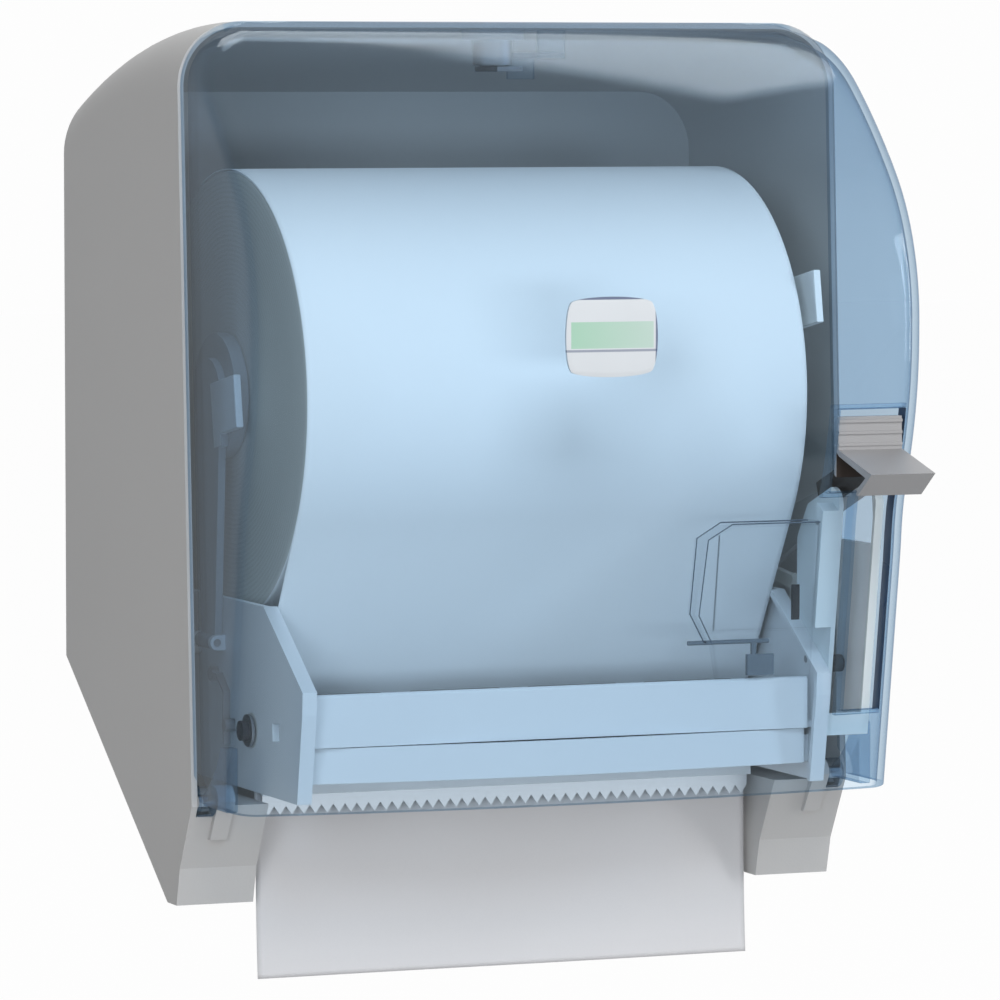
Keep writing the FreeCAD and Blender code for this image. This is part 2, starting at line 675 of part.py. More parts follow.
def make_side_plate(side):
    """A moulded side plate with its turned front edge, bearing seats and holes."""
    start, steps = plate_outline()
    plate = side_prism(start, steps, PLATE_X, PLATE_OUT)
    edge = side_prism((160.0, PLATE_TOP_Z),
                      [(PLATE_APEX_T, PLATE_APEX_Z), (PLATE_APEX_T - 0.5, PLATE_APEX_Z - 9.0),
                       (PLATE_FOOT_T, PLATE_FOOT_Z), (PLATE_FOOT_T - 2.6, PLATE_FOOT_Z),
                       (PLATE_APEX_T - 3.0, PLATE_APEX_Z - 8.5),
                       (PLATE_APEX_T - 3.0, PLATE_APEX_Z + 1.0), (158.0, PLATE_TOP_Z - 2.0)],
                      PLATE_X - 3.0, PLATE_OUT)
    pieces = [plate, edge]
    if side > 0:
        pieces += [rod(EAR_R, PIVOT_T, PIVOT_Z, PLATE_X, PLATE_OUT), spring_post()]
    else:
        pieces += arm_lugs()
    body = fuse(pieces)
    body = body.cut(rod(BUSH_R, FEED_T, FEED_Z, PLATE_X - 1, PLATE_OUT + 1))
    for t in CHASSIS_SCREW_T:
        body = body.cut(rod(CHASSIS_SCREW_R, t, CHASSIS_SCREW_Z, PLATE_X - 1, PLATE_OUT + 1))
    window = side_prism(PLATE_WINDOW[0], PLATE_WINDOW[1:], PLATE_X - 1, PLATE_OUT + 1)
    slot = block(PLATE_X - 1, PLATE_OUT + 1, PRESS_T - PRESS_SLIDE - PRESS_SHAFT_R - BEARING_FIT,
                 PRESS_T + PRESS_SHAFT_R + BEARING_FIT, FEED_Z - PRESS_SHAFT_R - BEARING_FIT,
                 FEED_Z + PRESS_SHAFT_R + BEARING_FIT)
    body = body.cut(window).cut(slot)
    if side < 0:
        return mirrored(body)
    body = body.cut(rod(LEVER_PIN_R, PIVOT_T, PIVOT_Z, PLATE_X - 1, PLATE_OUT + 1))
    body = body.cut(rod(ARM_SCREW_R, ROLL_T, ARM_PIVOT_Z, PLATE_X - 1, PLATE_OUT + 1))
    for t, z in CASE_SCREWS:
        body = body.cut(rod(CASE_SCREW_R, t, z, PLATE_X - 1, PLATE_OUT + 1))
    return body


def spring_post():
    """The post on the right-hand plate that the return spring's fixed leg rests on."""
    return rod(SPRING_POST_R, PIVOT_T - SPRING_POST_OFF, PIVOT_Z, PLATE_X, spring_x0() + SPRING_LENGTH)


def make_cross_member():
    """The upper panel of the front bar with its ribs and the guide edge the towel runs over."""
    reach = PLATE_X
    inner = PLATE_X - 3.2
    panel = block(-inner, inner, BAR_FRONT_T - BAR_WALL, BAR_FRONT_T, BAR_SEAM_Z, BAR_TOP_Z - 1.5)
    nose = Part.makeCylinder(1.5, 2 * inner, tz(BAR_FRONT_T - 1.5, BAR_TOP_Z - 1.5, -inner), V(1, 0, 0))
    shelf = block(-reach, reach, FEED_T + FEED_R + 4.0, BAR_FRONT_T - BAR_WALL + 0.2,
                  BAR_SEAM_Z, BAR_SEAM_Z + BAR_WALL)
    pieces = [panel, nose, shelf]
    for i in range(7):
        x = -90.0 + 30.0 * i
        pieces.append(side_prism((BAR_FRONT_T - BAR_WALL, BAR_TOP_Z - 4.0),
                                 [(BAR_FRONT_T - BAR_WALL - 14.0, BAR_SEAM_Z + BAR_WALL),
                                  (BAR_FRONT_T - BAR_WALL, BAR_SEAM_Z + BAR_WALL)], x - 1.0, x + 1.0))
    return fuse(pieces)


def make_paper_lip():
    """The lower panel, bowed in front, with the floor that carries the blade."""
    inner = PLATE_X - 3.2
    back_t = TEAR_T + TEAR_THICKNESS
    low, high = BAR_BOTTOM_Z, BAR_SEAM_Z - 0.3
    side_t = BAR_FRONT_T - 3.0
    outer = plan_prism((-inner, FEED_T), [(-inner, side_t), ((0, side_t + BAR_CROWN), (inner, side_t)),
                                          (inner, FEED_T)], low, high)
    inside = plan_prism((-inner - 1, back_t - 9), [(-inner - 1, side_t - BAR_WALL),
                        ((0, side_t + BAR_CROWN - BAR_WALL), (inner + 1, side_t - BAR_WALL)),
                        (inner + 1, back_t - 9)], low - 1, high + 1)
    wall = outer.cut(inside)
    floor = plan_prism((-inner, back_t), [(-inner, side_t), ((0, side_t + BAR_CROWN), (inner, side_t)),
                                          (inner, back_t)], low, low + BAR_WALL)
    apron = block(-inner, inner, back_t, back_t + BAR_WALL, TEAR_BOTTOM_Z + 8.0, low + BAR_WALL)
    ends = [block(x0, x1, back_t + 2.0, side_t - 3.0, low, high - 3.0)
            for x0, x1 in ((-PLATE_X, -inner + 2.0), (inner - 2.0, PLATE_X))]
    hollow = rod(FEED_R + 2.5, FEED_T, FEED_Z, -PLATE_X - 1, PLATE_X + 1)
    return fuse([wall, floor, apron] + ends).cut(hollow)


def make_tear_bar():
    """The serrated blade under the lip."""
    half = ROLL_HALF - 1.0
    top = BAR_BOTTOM_Z + BAR_WALL
    steps = [(-half, TEAR_BOTTOM_Z + TOOTH_DEPTH)]
    count = int(2 * half / TOOTH_PITCH)
    pitch = 2 * half / count
    for i in range(count):
        steps.append((-half + pitch * (i + 0.5), TEAR_BOTTOM_Z))
        steps.append((-half + pitch * (i + 1.0), TEAR_BOTTOM_Z + TOOTH_DEPTH))
    steps.append((half, top))
    return front_prism((-half, top), steps, TEAR_T, TEAR_T + TEAR_THICKNESS)


def make_rear_guide():
    """The curved chute behind the pressure roller, hung between the side plates."""
    t0 = PRESS_T - PRESS_R - 8.0
    outline = [((t0 - 2.0, FEED_Z + 10.0), (t0 + 2.0, FEED_Z - 16.0)), (t0 + 4.4, FEED_Z - 15.0),
               ((t0 + 0.6, FEED_Z + 10.0), (t0 - 17.5, FEED_Z + 34.0))]
    body = side_prism((t0 - 20.0, FEED_Z + 35.5), outline, -PLATE_X, PLATE_X)
    middle = Part.Arc(tz(t0 - 18.75, FEED_Z + 34.75), tz(t0 - 0.7, FEED_Z + 10.0),
                      tz(t0 + 3.2, FEED_Z - 15.5))
    points = [(-p.y, p.z) for p in middle.toShape().discretize(21)]
    pieces = [body]
    for x in spread(GUIDE_RIBS, GUIDE_RIB_SPAN, GUIDE_RIB):
        pieces.append(side_prism(points[2], [(points[10], points[18]), (t0 - 14.0, FEED_Z + 4.0)],
                                 x, x + GUIDE_RIB))
    return fuse(pieces)


# ---- feed roller --------------------------------------------------------------------------------
def make_feed_shaft():
    """The feed roller's shaft with the drum that the rubber grips sit on."""
    shaft = rod(FEED_SHAFT_R, FEED_T, FEED_Z, -PLATE_OUT - 5.0, gear_x1() + 3.0)
    drum = rod(FEED_R - 3.0, FEED_T, FEED_Z, -PLATE_X + 4.0, PLATE_X - 4.0)
    body = shaft.fuse(drum)
    flat = block(gear_x0() - 0.5, gear_x1() + 5.0, FEED_T + FEED_SHAFT_R - 1.0, FEED_T + 9,
                 FEED_Z - 6, FEED_Z + 6)
    return body.cut(flat)


def spread(count, span, length):
    """Start positions of equal pieces spread over a span about the middle."""
    gap = (span - count * length) / (count - 1)
    return [-span / 2.0 + i * (length + gap) for i in range(count)]


def make_feed_grips():
    """The rubber sleeves that drive the towel."""
    return Part.makeCompound([ring(FEED_R, FEED_R - 3.0, FEED_T, FEED_Z, x, x + GRIP_LENGTH)
                              for x in spread(GRIP_COUNT, GRIP_SPAN, GRIP_LENGTH)])


def make_bush(side):
    """A flanged bearing bush in a side plate."""
    body = ring(BUSH_R, FEED_SHAFT_R + BEARING_FIT, FEED_T, FEED_Z, PLATE_X - 1.5, PLATE_OUT)
    flange = ring(BUSH_FLANGE_R, FEED_SHAFT_R + BEARING_FIT, FEED_T, FEED_Z, PLATE_X - 1.5, PLATE_X)
    body = body.fuse(flange)
    return body if side > 0 else mirrored(body)


def make_retaining_ring():
    """The clip on the left end of the feed shaft."""
    return ring(FEED_SHAFT_R + 2.5, FEED_SHAFT_R, FEED_T, FEED_Z, -PLATE_OUT - 2.0, -PLATE_OUT - 0.8)


def make_pressure_shaft():
    """The steel pin of the pressure roller."""
    return rod(PRESS_SHAFT_R, PRESS_T, FEED_Z, -PLATE_OUT - 4.0, PLATE_OUT + 4.0)


def make_pressure_rollers():
    """The plastic rollers on the pressure shaft."""
    return Part.makeCompound([ring(PRESS_R, PRESS_SHAFT_R, PRESS_T, FEED_Z, x, x + PRESS_LENGTH)
                              for x in spread(PRESS_COUNT, GRIP_SPAN - 6.0, PRESS_LENGTH)])


def make_pressure_spring(side):
    """A leaf spring outside a side plate that pushes the pressure shaft forward."""
    x0, x1 = PLATE_OUT, PLATE_OUT + 3.0
    t = PRESS_T - PRESS_SHAFT_R - 0.3
    body = side_prism((t, FEED_Z - 8.0),
                      [((t - 0.6, FEED_Z + 2.0), (t, FEED_Z + 13.0)), (t - 9.0, FEED_Z + 19.5),
                       (t - 9.6, FEED_Z + 18.5), (t - 0.7, FEED_Z + 12.6),
                       ((t - 1.4, FEED_Z + 2.0), (t - 0.8, FEED_Z - 8.0))], x0, x1)
    foot = block(x0, x1, t - 16.0, t - 9.0, FEED_Z + 18.1, FEED_Z + 19.7)
    anchor = rod(3.0, t - 16.0, FEED_Z + 18.9, x0, x1)
    body = fuse([body, foot, anchor])
    return body if side > 0 else mirrored(body)


# ---- gears --------------------------------------------------------------------------------------
def gear_x0():
    """Inner face of the gears."""
    return NECK_X - 3.5


def gear_x1():
    """Outer face of the gears."""
    return NECK_X + 3.5


def tooth(teeth, centre, direction):
    """Points of one involute tooth, as (t, z), from its left root to its right root."""
    pitch_r = MODULE * teeth / 2.0
    base_r = pitch_r * math.cos(math.radians(20.0))
    tip_r = pitch_r + 0.95 * MODULE
    root_r = pitch_r - 1.2 * MODULE
    roll_at_pitch = math.tan(math.radians(20.0)) - math.radians(20.0)
    half = (math.pi * MODULE / 2.0 - BACKLASH) / (2.0 * pitch_r)
    low_r = max(base_r, root_r + 0.1)
    left = [polar(centre, root_r, direction + math.degrees(half + roll_at_pitch))]
    for i in range(4):
        r = low_r + (tip_r - low_r) * i / 3.0
        pressure = math.acos(base_r / r)
        angle = half + roll_at_pitch - (math.tan(pressure) - pressure)
        left.append(polar(centre, r, direction + math.degrees(angle)))
    right = [mirror_in(p, centre, direction) for p in reversed(left)]
    return left + right


def mirror_in(point, centre, direction):
    """A (t, z) point mirrored in the line from a centre along a direction."""
    flat = turned(point, -direction, centre)
    return turned((flat[0], 2.0 * centre[1] - flat[1]), direction, centre)


def gear_outline(teeth, count, centre, first_direction):
    """Outline points of count teeth, running clockwise from the first direction."""
    step = 360.0 / teeth
    points = []
    for i in range(count):
        points += tooth(teeth, centre, first_direction - step * i)
    return points


def make_roller_gear():
    """The pinion that turns the feed roller, with its hub."""
    centre = (FEED_T, FEED_Z)
    step = 360.0 / PINION_TEETH
    points = gear_outline(PINION_TEETH, PINION_TEETH, centre, MESH_ANGLE + step / 2.0)
    body = side_prism(points[0], points[1:], gear_x0(), gear_x1())
    body = body.fuse(rod(FEED_SHAFT_R + 3.5, FEED_T, FEED_Z, PLATE_OUT + 0.3, gear_x0()))
    shaft = rod(FEED_SHAFT_R, FEED_T, FEED_Z, PLATE_X, gear_x1() + 4.0)
    flat = block(gear_x0() - 0.5, gear_x1() + 5.0, FEED_T + FEED_SHAFT_R - 1.0, FEED_T + 9,
                 FEED_Z - 6, FEED_Z + 6)
    return body.cut(shaft.cut(flat))


def make_sector_gear():
    """The toothed quadrant of the lever."""
    centre = (PIVOT_T, PIVOT_Z)
    step = 360.0 / SECTOR_TEETH
    count = int(LEVER_TRAVEL / step) + 5
    mesh = MESH_ANGLE - 180.0
    first = mesh + step * (count - 3)
    points = gear_outline(SECTOR_TEETH, count, centre, first)
    rim_r = MODULE * SECTOR_TEETH / 2.0 - 9.0
    last = first - step * (count - 1)
    inner = [polar(centre, rim_r, last - step / 2.0),
             (polar(centre, rim_r, (first + last) / 2.0), polar(centre, rim_r, first + step / 2.0))]
    rim = side_prism(points[0], points[1:] + inner, gear_x0(), gear_x1())
    web = side_prism(centre, [polar(centre, rim_r + 2.0, last),
                              (polar(centre, rim_r + 2.0, (first + last) / 2.0),
                               polar(centre, rim_r + 2.0, first))], NECK_X - 1.5, NECK_X + 1.5)
    hole = side_prism(polar(centre, 22.0, last + 12.0),
                      [polar(centre, rim_r - 6.0, last + 7.0),
                       (polar(centre, rim_r - 6.0, (first + last) / 2.0),
                        polar(centre, rim_r - 6.0, first - 7.0)),
                       polar(centre, 22.0, first - 12.0)], gear_x0(), gear_x1())
    hub = rod(LEVER_HUB_R - 2.0, PIVOT_T, PIVOT_Z, gear_x0(), NECK_X + 1.5)
    body = fuse([rim, web.cut(hole), hub])
    body = body.cut(rod(LEVER_PIN_R + 1.5, PIVOT_T, PIVOT_Z, gear_x0() - 1, gear_x1() + 1))
    return body.cut(lever_arm_form(0.0))


# ---- lever --------------------------------------------------------------------------------------
def arm_direction():
    """Direction of the lever's arm at rest, in degrees above straight forward."""
    aim_t = PADDLE_ROOT_T - 2.0
    aim_z = (PADDLE_TOP_Z + WINDOW_BOTTOM_Z) / 2.0 - 3.0
    return math.degrees(math.atan2(aim_z - PIVOT_Z, aim_t - PIVOT_T))


def lever_arm_form(grow):
    """The flat arm that runs from the pivot to the paddle."""
    centre = (PIVOT_T, PIVOT_Z)
    aim = arm_direction()
    length = (PADDLE_ROOT_T - PIVOT_T) / math.cos(math.radians(aim)) - 1.0
    high = ARM_HEIGHT / 2.0
    foot = LEVER_HUB_R - 1.0
    corners = [(0.0, foot), (0.0, -foot), (length * 0.5, -high), (length, -high), (length, high),
               (length * 0.5, high)]
    points = [turned((centre[0] + a, centre[1] + b), aim, centre) for a, b in corners]
    x0 = NECK_X + 1.5
    x1 = NECK_X + NECK_WIDTH / 2.0
    plate = side_prism(points[0], points[1:], x0, x1)
    fore = [turned((centre[0] + a, centre[1] + b), aim, centre)
            for a, b in ((length * 0.62, -high), (length, -high), (length, high), (length * 0.62, high))]
    neck = side_prism(fore[0], fore[1:], NECK_X - NECK_WIDTH / 2.0, x1)
    hub = rod(LEVER_HUB_R, PIVOT_T, PIVOT_Z, x0, x1 + HUB_BOSS)
    return fuse([plate, neck, hub])


def make_lever():
    """The one-piece lever: hub, arm, ribbed root and hollow paddle."""
    x0 = LEVER_X - PADDLE_WIDTH / 2.0
    x1 = LEVER_X + PADDLE_WIDTH / 2.0
    root = PADDLE_ROOT_T
    bend_z = PADDLE_TOP_Z - 13.0
    outer = [(root - 3.5, PADDLE_TOP_Z), (root, PADDLE_TOP_Z), (root + 0.4, bend_z),
             (PADDLE_TIP_T, PADDLE_TIP_Z), (PADDLE_TIP_T - 12.5, PADDLE_TIP_Z - 9.0),
             (root + 1.0, PADDLE_TIP_Z - 4.0), (root - 3.5, PADDLE_TIP_Z - 2.0)]
    paddle = side_prism(outer[0], outer[1:], x0, x1)
    wall = PADDLE_WALL
    pocket = [(root - 1.5, bend_z - 1.0), (root + 1.0, bend_z - 2.6),
              (PADDLE_TIP_T - 5.5, PADDLE_TIP_Z - 1.6), (PADDLE_TIP_T - 13.0, PADDLE_TIP_Z - 6.4),
              (PADDLE_TIP_T - 15.0, PADDLE_TIP_Z - 12.0), (root - 1.5, PADDLE_TIP_Z - 8.0)]
    paddle = paddle.cut(side_prism(pocket[0], pocket[1:], x0 + wall, x1 - wall))
    pieces = [lever_arm_form(0.0), paddle]
    for i in range(3):
        z = PADDLE_TOP_Z - 1.2 - 4.6 * i
        pieces.append(block(x0, x1, root - 1.0, root + 0.9, z - 1.1, z))
    body = fuse(pieces)
    return body.cut(rod(LEVER_PIN_R + 1.5, PIVOT_T, PIVOT_Z, NECK_X - 20, NECK_X + 20))


def make_lever_bush():
    """The bearing sleeve pressed into the lever's hub."""
    return ring(LEVER_PIN_R + 1.5, LEVER_PIN_R + BEARING_FIT, PIVOT_T, PIVOT_Z, gear_x0(),
                NECK_X + NECK_WIDTH / 2.0 + HUB_BOSS)


def make_lever_pin():
    """The shouldered pin that the lever turns on, headed outside and seated in the side plate."""
    end = spring_x0() + SPRING_LENGTH + 0.3
    pin = rod(LEVER_PIN_R, PIVOT_T, PIVOT_Z, PLATE_X, end)
    head = rod(LEVER_PIN_R + 3.5, PIVOT_T, PIVOT_Z, end, end + 2.0)
    return pin.fuse(head)


def spring_x0():
    """Inner end of the return spring, against the lever's hub."""
    return NECK_X + NECK_WIDTH / 2.0 + HUB_BOSS + 0.3


def make_lever_spring():
    """The close-wound return spring on the lever's pin, with the leg on the plate's post."""
    waist = math.sqrt(SPRING_WIRE ** 2 - (SPRING_PITCH / 2.0) ** 2)
    x0 = spring_x0()
    outside = []
    inside = []
    for i in range(SPRING_TURNS):
        middle, end = x0 + SPRING_PITCH * (i + 0.5), x0 + SPRING_PITCH * (i + 1)
        outside += [(middle, SPRING_R + SPRING_WIRE), (end, SPRING_R + waist)]
        inside += [(end - SPRING_PITCH, SPRING_R - waist), (middle, SPRING_R - SPRING_WIRE)]
    steps = outside + [(x0 + SPRING_LENGTH, SPRING_R - waist)] + inside[::-1]
    wire = closed_wire((x0, SPRING_R + waist), steps, lambda x, r: V(x, -PIVOT_T, PIVOT_Z + r))
    coil = Part.Face(wire).revolve(tz(PIVOT_T, PIVOT_Z), V(1, 0, 0), 360)
    x = x0 + SPRING_PITCH / 2.0
    start = tz(PIVOT_T, PIVOT_Z + SPRING_R, x)
    rest = tz(PIVOT_T - SPRING_POST_OFF - 5.0, PIVOT_Z + SPRING_POST_R + SPRING_WIRE + 0.05, x)
    leg = Part.makeCylinder(SPRING_WIRE * 0.9, (rest - start).Length, start, rest - start)
    return fuse([coil, leg])


# ---- lever case ---------------------------------------------------------------------------------
def case_front_t(z):
    """Depth of the case's front, which follows the cover's straight lower front."""
    lean = (COVER_WAIST_T - COVER_FOOT_T) / (COVER_WAIST_Z - COVER_BOTTOM_Z)
    return COVER_WAIST_T + lean * (z - COVER_WAIST_Z) - CASE_SETBACK


def make_lever_case():
    """The channel on the right-hand plate that the lever swings in, open behind and at its slot."""
    top_t = case_front_t(CASE_TOP_Z)
    outline = [(CASE_BACK_T, CASE_TOP_Z - 22.0), (CASE_BACK_T + 10.0, CASE_TOP_Z - 8.0),
               (top_t - 9.0, CASE_TOP_Z),
               ((top_t - 2.6, CASE_TOP_Z - 2.6), (case_front_t(CASE_TOP_Z - 9.0), CASE_TOP_Z - 9.0)),
               (case_front_t(CASE_BOTTOM_Z), CASE_BOTTOM_Z)]
    body = side_prism((CASE_BACK_T, CASE_BOTTOM_Z), outline, CASE_X0, CASE_X1)
    hollow = side_prism((CASE_BACK_T - 5.0, CASE_BOTTOM_Z + CASE_WALL),
                        [(CASE_BACK_T - 5.0, CASE_TOP_Z + 9.0),
                         (top_t - 6.0, CASE_TOP_Z + 9.0),
                         (case_front_t(CASE_TOP_Z - 12.0) - CASE_WALL, CASE_TOP_Z - 12.0),
                         (case_front_t(CASE_BOTTOM_Z) - CASE_WALL, CASE_BOTTOM_Z + CASE_WALL)],
                        CASE_X0 + CASE_WALL, CASE_X1 + 1.0)
    flange = side_prism((case_front_t(CASE_TOP_Z - 9.0) - 6.0, CASE_TOP_Z - 6.0),
                        [(case_front_t(CASE_TOP_Z - 9.0), CASE_TOP_Z - 9.0),
                         (case_front_t(-84.0), -84.0), (case_front_t(-84.0) - 3.0, -84.0)],
                        CASE_LEFT_X, CASE_X0 + CASE_WALL)
    body = body.cut(hollow).fuse(flange)
    slot = block(NECK_X - SLOT_WIDTH / 2.0, NECK_X + SLOT_WIDTH / 2.0, top_t - 40.0, 260.0,
                 SLOT_BOTTOM_Z - 2.0, CASE_TOP_Z + 20.0)
    body = body.cut(slot)
    for t, z in CASE_SCREWS:
        body = body.cut(rod(CASE_SCREW_R, t, z, CASE_X0 - 1, CASE_X0 + CASE_WALL + 1))
    return body


def guard_front_t(z):
    """Depth of the guard's front face, just behind the front of the lever's case."""
    return case_front_t(z) - GUARD_SETBACK


def guard_form(inset):
    """The guard's outer form, or the hollow inside it when inset is its wall."""
    back = GUARD_BACK_T - inset
    top, low = GUARD_TOP_Z - inset, GUARD_FOOT_Z - inset
    depth = side_prism((back, top), [(guard_front_t(top) - inset, top), (guard_front_t(low) - inset, low),
                                     (back, low)],
                       CASE_LEFT_X - GUARD_OUTLINE[2][0] - 5.0, CASE_LEFT_X + inset)
    steps = [(CASE_LEFT_X - reach + inset, z - inset * 0.5) for reach, z in GUARD_OUTLINE[:-1]]
    steps.append((CASE_LEFT_X - GUARD_OUTLINE[-1][0] + inset, low))
    face = front_prism((CASE_LEFT_X + inset, top), steps + [(CASE_LEFT_X + inset, low)],
                       back, guard_front_t(top) + 1.0)
    return depth.common(face)


def make_roll_guard():
    """The clear open box in front of the towel's right-hand edge, moulded with two fine ribs."""
    inside = guard_form(GUARD_WALL)
    shell = guard_form(0.0).cut(inside)
    depth = GUARD_WALL + 1.5
    along = side_prism((guard_front_t(GUARD_RIB_Z) - depth, GUARD_RIB_Z),
                       [(guard_front_t(GUARD_RIB_Z), GUARD_RIB_Z),
                        (guard_front_t(GUARD_RIB_Z), GUARD_RIB_Z - GUARD_RIB),
                        (guard_front_t(GUARD_RIB_Z) - depth, GUARD_RIB_Z - GUARD_RIB)],
                       CASE_LEFT_X - GUARD_OUTLINE[3][0], CASE_LEFT_X)
    x = CASE_LEFT_X - GUARD_RIB_IN
    upright = side_prism((guard_front_t(GUARD_TOP_Z) - depth, GUARD_TOP_Z),
                         [(guard_front_t(GUARD_TOP_Z), GUARD_TOP_Z),
                          (guard_front_t(GUARD_RIB_Z), GUARD_RIB_Z),
                          (guard_front_t(GUARD_RIB_Z) - depth, GUARD_RIB_Z)], x, x + GUARD_RIB)
    ribs = along.fuse(upright).common(inside)
    return fuse([shell, ribs])


def make_guard_latch():
    """The guard's latch: a fine pin across it with a slide on its end."""
    t = guard_front_t(LATCH_Z) - 5.0
    end = CASE_LEFT_X - LATCH_IN
    pin = rod(LATCH_R, t, LATCH_Z, CASE_LEFT_X - GUARD_OUTLINE[2][0], end)
    slide_top = LATCH_Z - 5.2
    slide_x = end - SLIDE_WIDTH + 2.0
    slide = block(slide_x, slide_x + SLIDE_WIDTH, t - 1.0, t + 1.0, slide_top - SLIDE_HEIGHT, slide_top)
    link = block(slide_x + 2.0, slide_x + 4.0, t - 0.7, t + 0.7, slide_top - 1.0, LATCH_Z)
    return fuse([pin, slide, link]).cut(guard_form(0.0).cut(guard_form(GUARD_WALL)))


def make_guard_stop():
    """The dark rubber stop behind the guard, near the case."""
    x = CASE_LEFT_X - 7.3
    low = LATCH_Z + 8.4
    middle = low + GUARD_STOP_LENGTH / 2.0
    stop = post(GUARD_STOP_R, x, guard_front_t(middle) - GUARD_WALL - GUARD_STOP_R + 0.4, low,
                low + GUARD_STOP_LENGTH)
    return stop.cut(make_roll_guard())


def make_case_cover():
    """The flat outer wall of the lever's case, with its two bosses."""
    z0, z1 = CASE_BOTTOM_Z + CASE_WALL + 0.3, CASE_TOP_Z - 23.0
    front0 = case_front_t(z0) - CASE_WALL - 0.3
    front1 = case_front_t(z1) - CASE_WALL - 0.3
    return side_prism((CASE_BACK_T, z0), [(CASE_BACK_T, z1), (front1, z1), (front0, z0)],
                      CASE_X1 - CASE_WALL, CASE_X1)


def make_case_screws():
    """The two screws that hold the case to the side plate."""
    screws = []
    for t, z in CASE_SCREWS:
        shank = rod(CASE_SCREW_R, t, z, PLATE_X, CASE_X0 + CASE_WALL)
        head = rod(3.0, t, z, CASE_X0 + CASE_WALL, CASE_X0 + CASE_WALL + 1.8)
        screws.append(shank.fuse(head))
    return Part.makeCompound(screws)


def make_lever_buffer():
    """The rubber stop that the lever comes to rest against at the bottom of its stroke."""
    centre = (PIVOT_T, PIVOT_Z)
    down = arm_direction() - LEVER_TRAVEL
    reach = CASE_BACK_T + 14.0 - PIVOT_T
    touch = turned((centre[0] + reach, centre[1] - ARM_HEIGHT / 2.0 - 5.0), down, centre)
    return rod(3.5, touch[0], touch[1], CASE_X0 + CASE_WALL, CASE_X1 - CASE_WALL)


# ---- roll arms, hubs, roll ----------------------------------------------------------------------
def roll_arm(tab_t, tab_z):
    """A roll arm on the right-hand side: an upright leaf, its head and its finger tab."""
    x0, x1 = ARM_X, ARM_X + ARM_WALL
    leaf = side_prism((ROLL_T - ARM_FOOT_R, ARM_PIVOT_Z),
                      [(ROLL_T - ROLL_ARM_R, ROLL_Z), (ROLL_T + ROLL_ARM_R, ROLL_Z),
                       (ROLL_T + ARM_FOOT_R, ARM_PIVOT_Z)], x0, x1)
    head = rod(ROLL_ARM_R, ROLL_T, ROLL_Z, x0, x1)
    corner = [(-TAB_LENGTH / 2, -TAB_HEIGHT / 2), (TAB_LENGTH / 2, -TAB_HEIGHT / 2),
              (TAB_LENGTH / 2, TAB_HEIGHT / 2), (-TAB_LENGTH / 2, TAB_HEIGHT / 2)]
    points = [turned((tab_t + a, tab_z + b), TAB_TILT, (tab_t, tab_z)) for a, b in corner]
    tab = side_prism(points[0], points[1:], x0, x1)
    stem = side_prism((ROLL_T, ROLL_Z + 10.0),
                      [points[3], points[0], (ROLL_T, ROLL_Z - 9.0)], x0, x1 - 0.6)
    return fuse([leaf, head, tab, stem])


def make_right_roll_arm():
    """The fixed arm, clamped between the side plate and the lever's pin."""
    arm = roll_arm(RIGHT_TAB_T, RIGHT_TAB_Z)
    foot = rod(ARM_FOOT_R, ROLL_T, ARM_PIVOT_Z, ARM_X, ARM_X + ARM_WALL)
    spacer = rod(ARM_SCREW_R + 2.4, ROLL_T, ARM_PIVOT_Z, PLATE_OUT, ARM_X)
    collar = rod(LEVER_PIN_R + 3.0, PIVOT_T, PIVOT_Z, PLATE_OUT, ARM_X)
    arm = fuse([arm, foot, spacer, collar])
    return arm.cut(rod(LEVER_PIN_R, PIVOT_T, PIVOT_Z, PLATE_X, HALF)).cut(
        rod(ARM_SCREW_R, ROLL_T, ARM_PIVOT_Z, PLATE_X, HALF))


def make_arm_screw():
    """The screw that keeps the fixed arm upright on the side plate."""
    shank = rod(ARM_SCREW_R, ROLL_T, ARM_PIVOT_Z, PLATE_X, ARM_X + ARM_WALL)
    return shank.fuse(rod(3.4, ROLL_T, ARM_PIVOT_Z, ARM_X + ARM_WALL, ARM_X + ARM_WALL + 1.6))


def arm_barrel_x():
    """Side position of the left arm's hinge line, on the right-hand side before mirroring."""
    return ARM_X + ARM_WALL


def arm_bar(radius, t0, t1):
    """A round bar along the left arm's hinge line."""
    return peg(radius, arm_barrel_x(), ARM_PIVOT_Z, t0, t1)


def make_left_roll_arm():
    """The arm that swings out to let the roll go, with its hinge barrel."""
    t0, t1 = ROLL_T - ARM_FOOT_R, ROLL_T + ARM_FOOT_R
    low = -TAB_HEIGHT / 2
    corner = [(-TAB_LENGTH / 2, low - TAB_HOOK_DROP), (TAB_HOOK - TAB_LENGTH / 2, low - TAB_HOOK_DROP),
              (TAB_HOOK - TAB_LENGTH / 2, 0), (-TAB_LENGTH / 2, 0)]
    centre = (LEFT_TAB_T, LEFT_TAB_Z)
    points = [turned((centre[0] + a, centre[1] + b), TAB_TILT, centre) for a, b in corner]
    hook = side_prism(points[0], points[1:], ARM_X, ARM_X + ARM_WALL)
    arm = fuse([roll_arm(*centre), hook, arm_bar(ARM_WALL, t0, t1)])
    return mirrored(arm.cut(arm_bar(ARM_PIN_R + HINGE_FIT, t0 - 1.0, t1 + 1.0)))


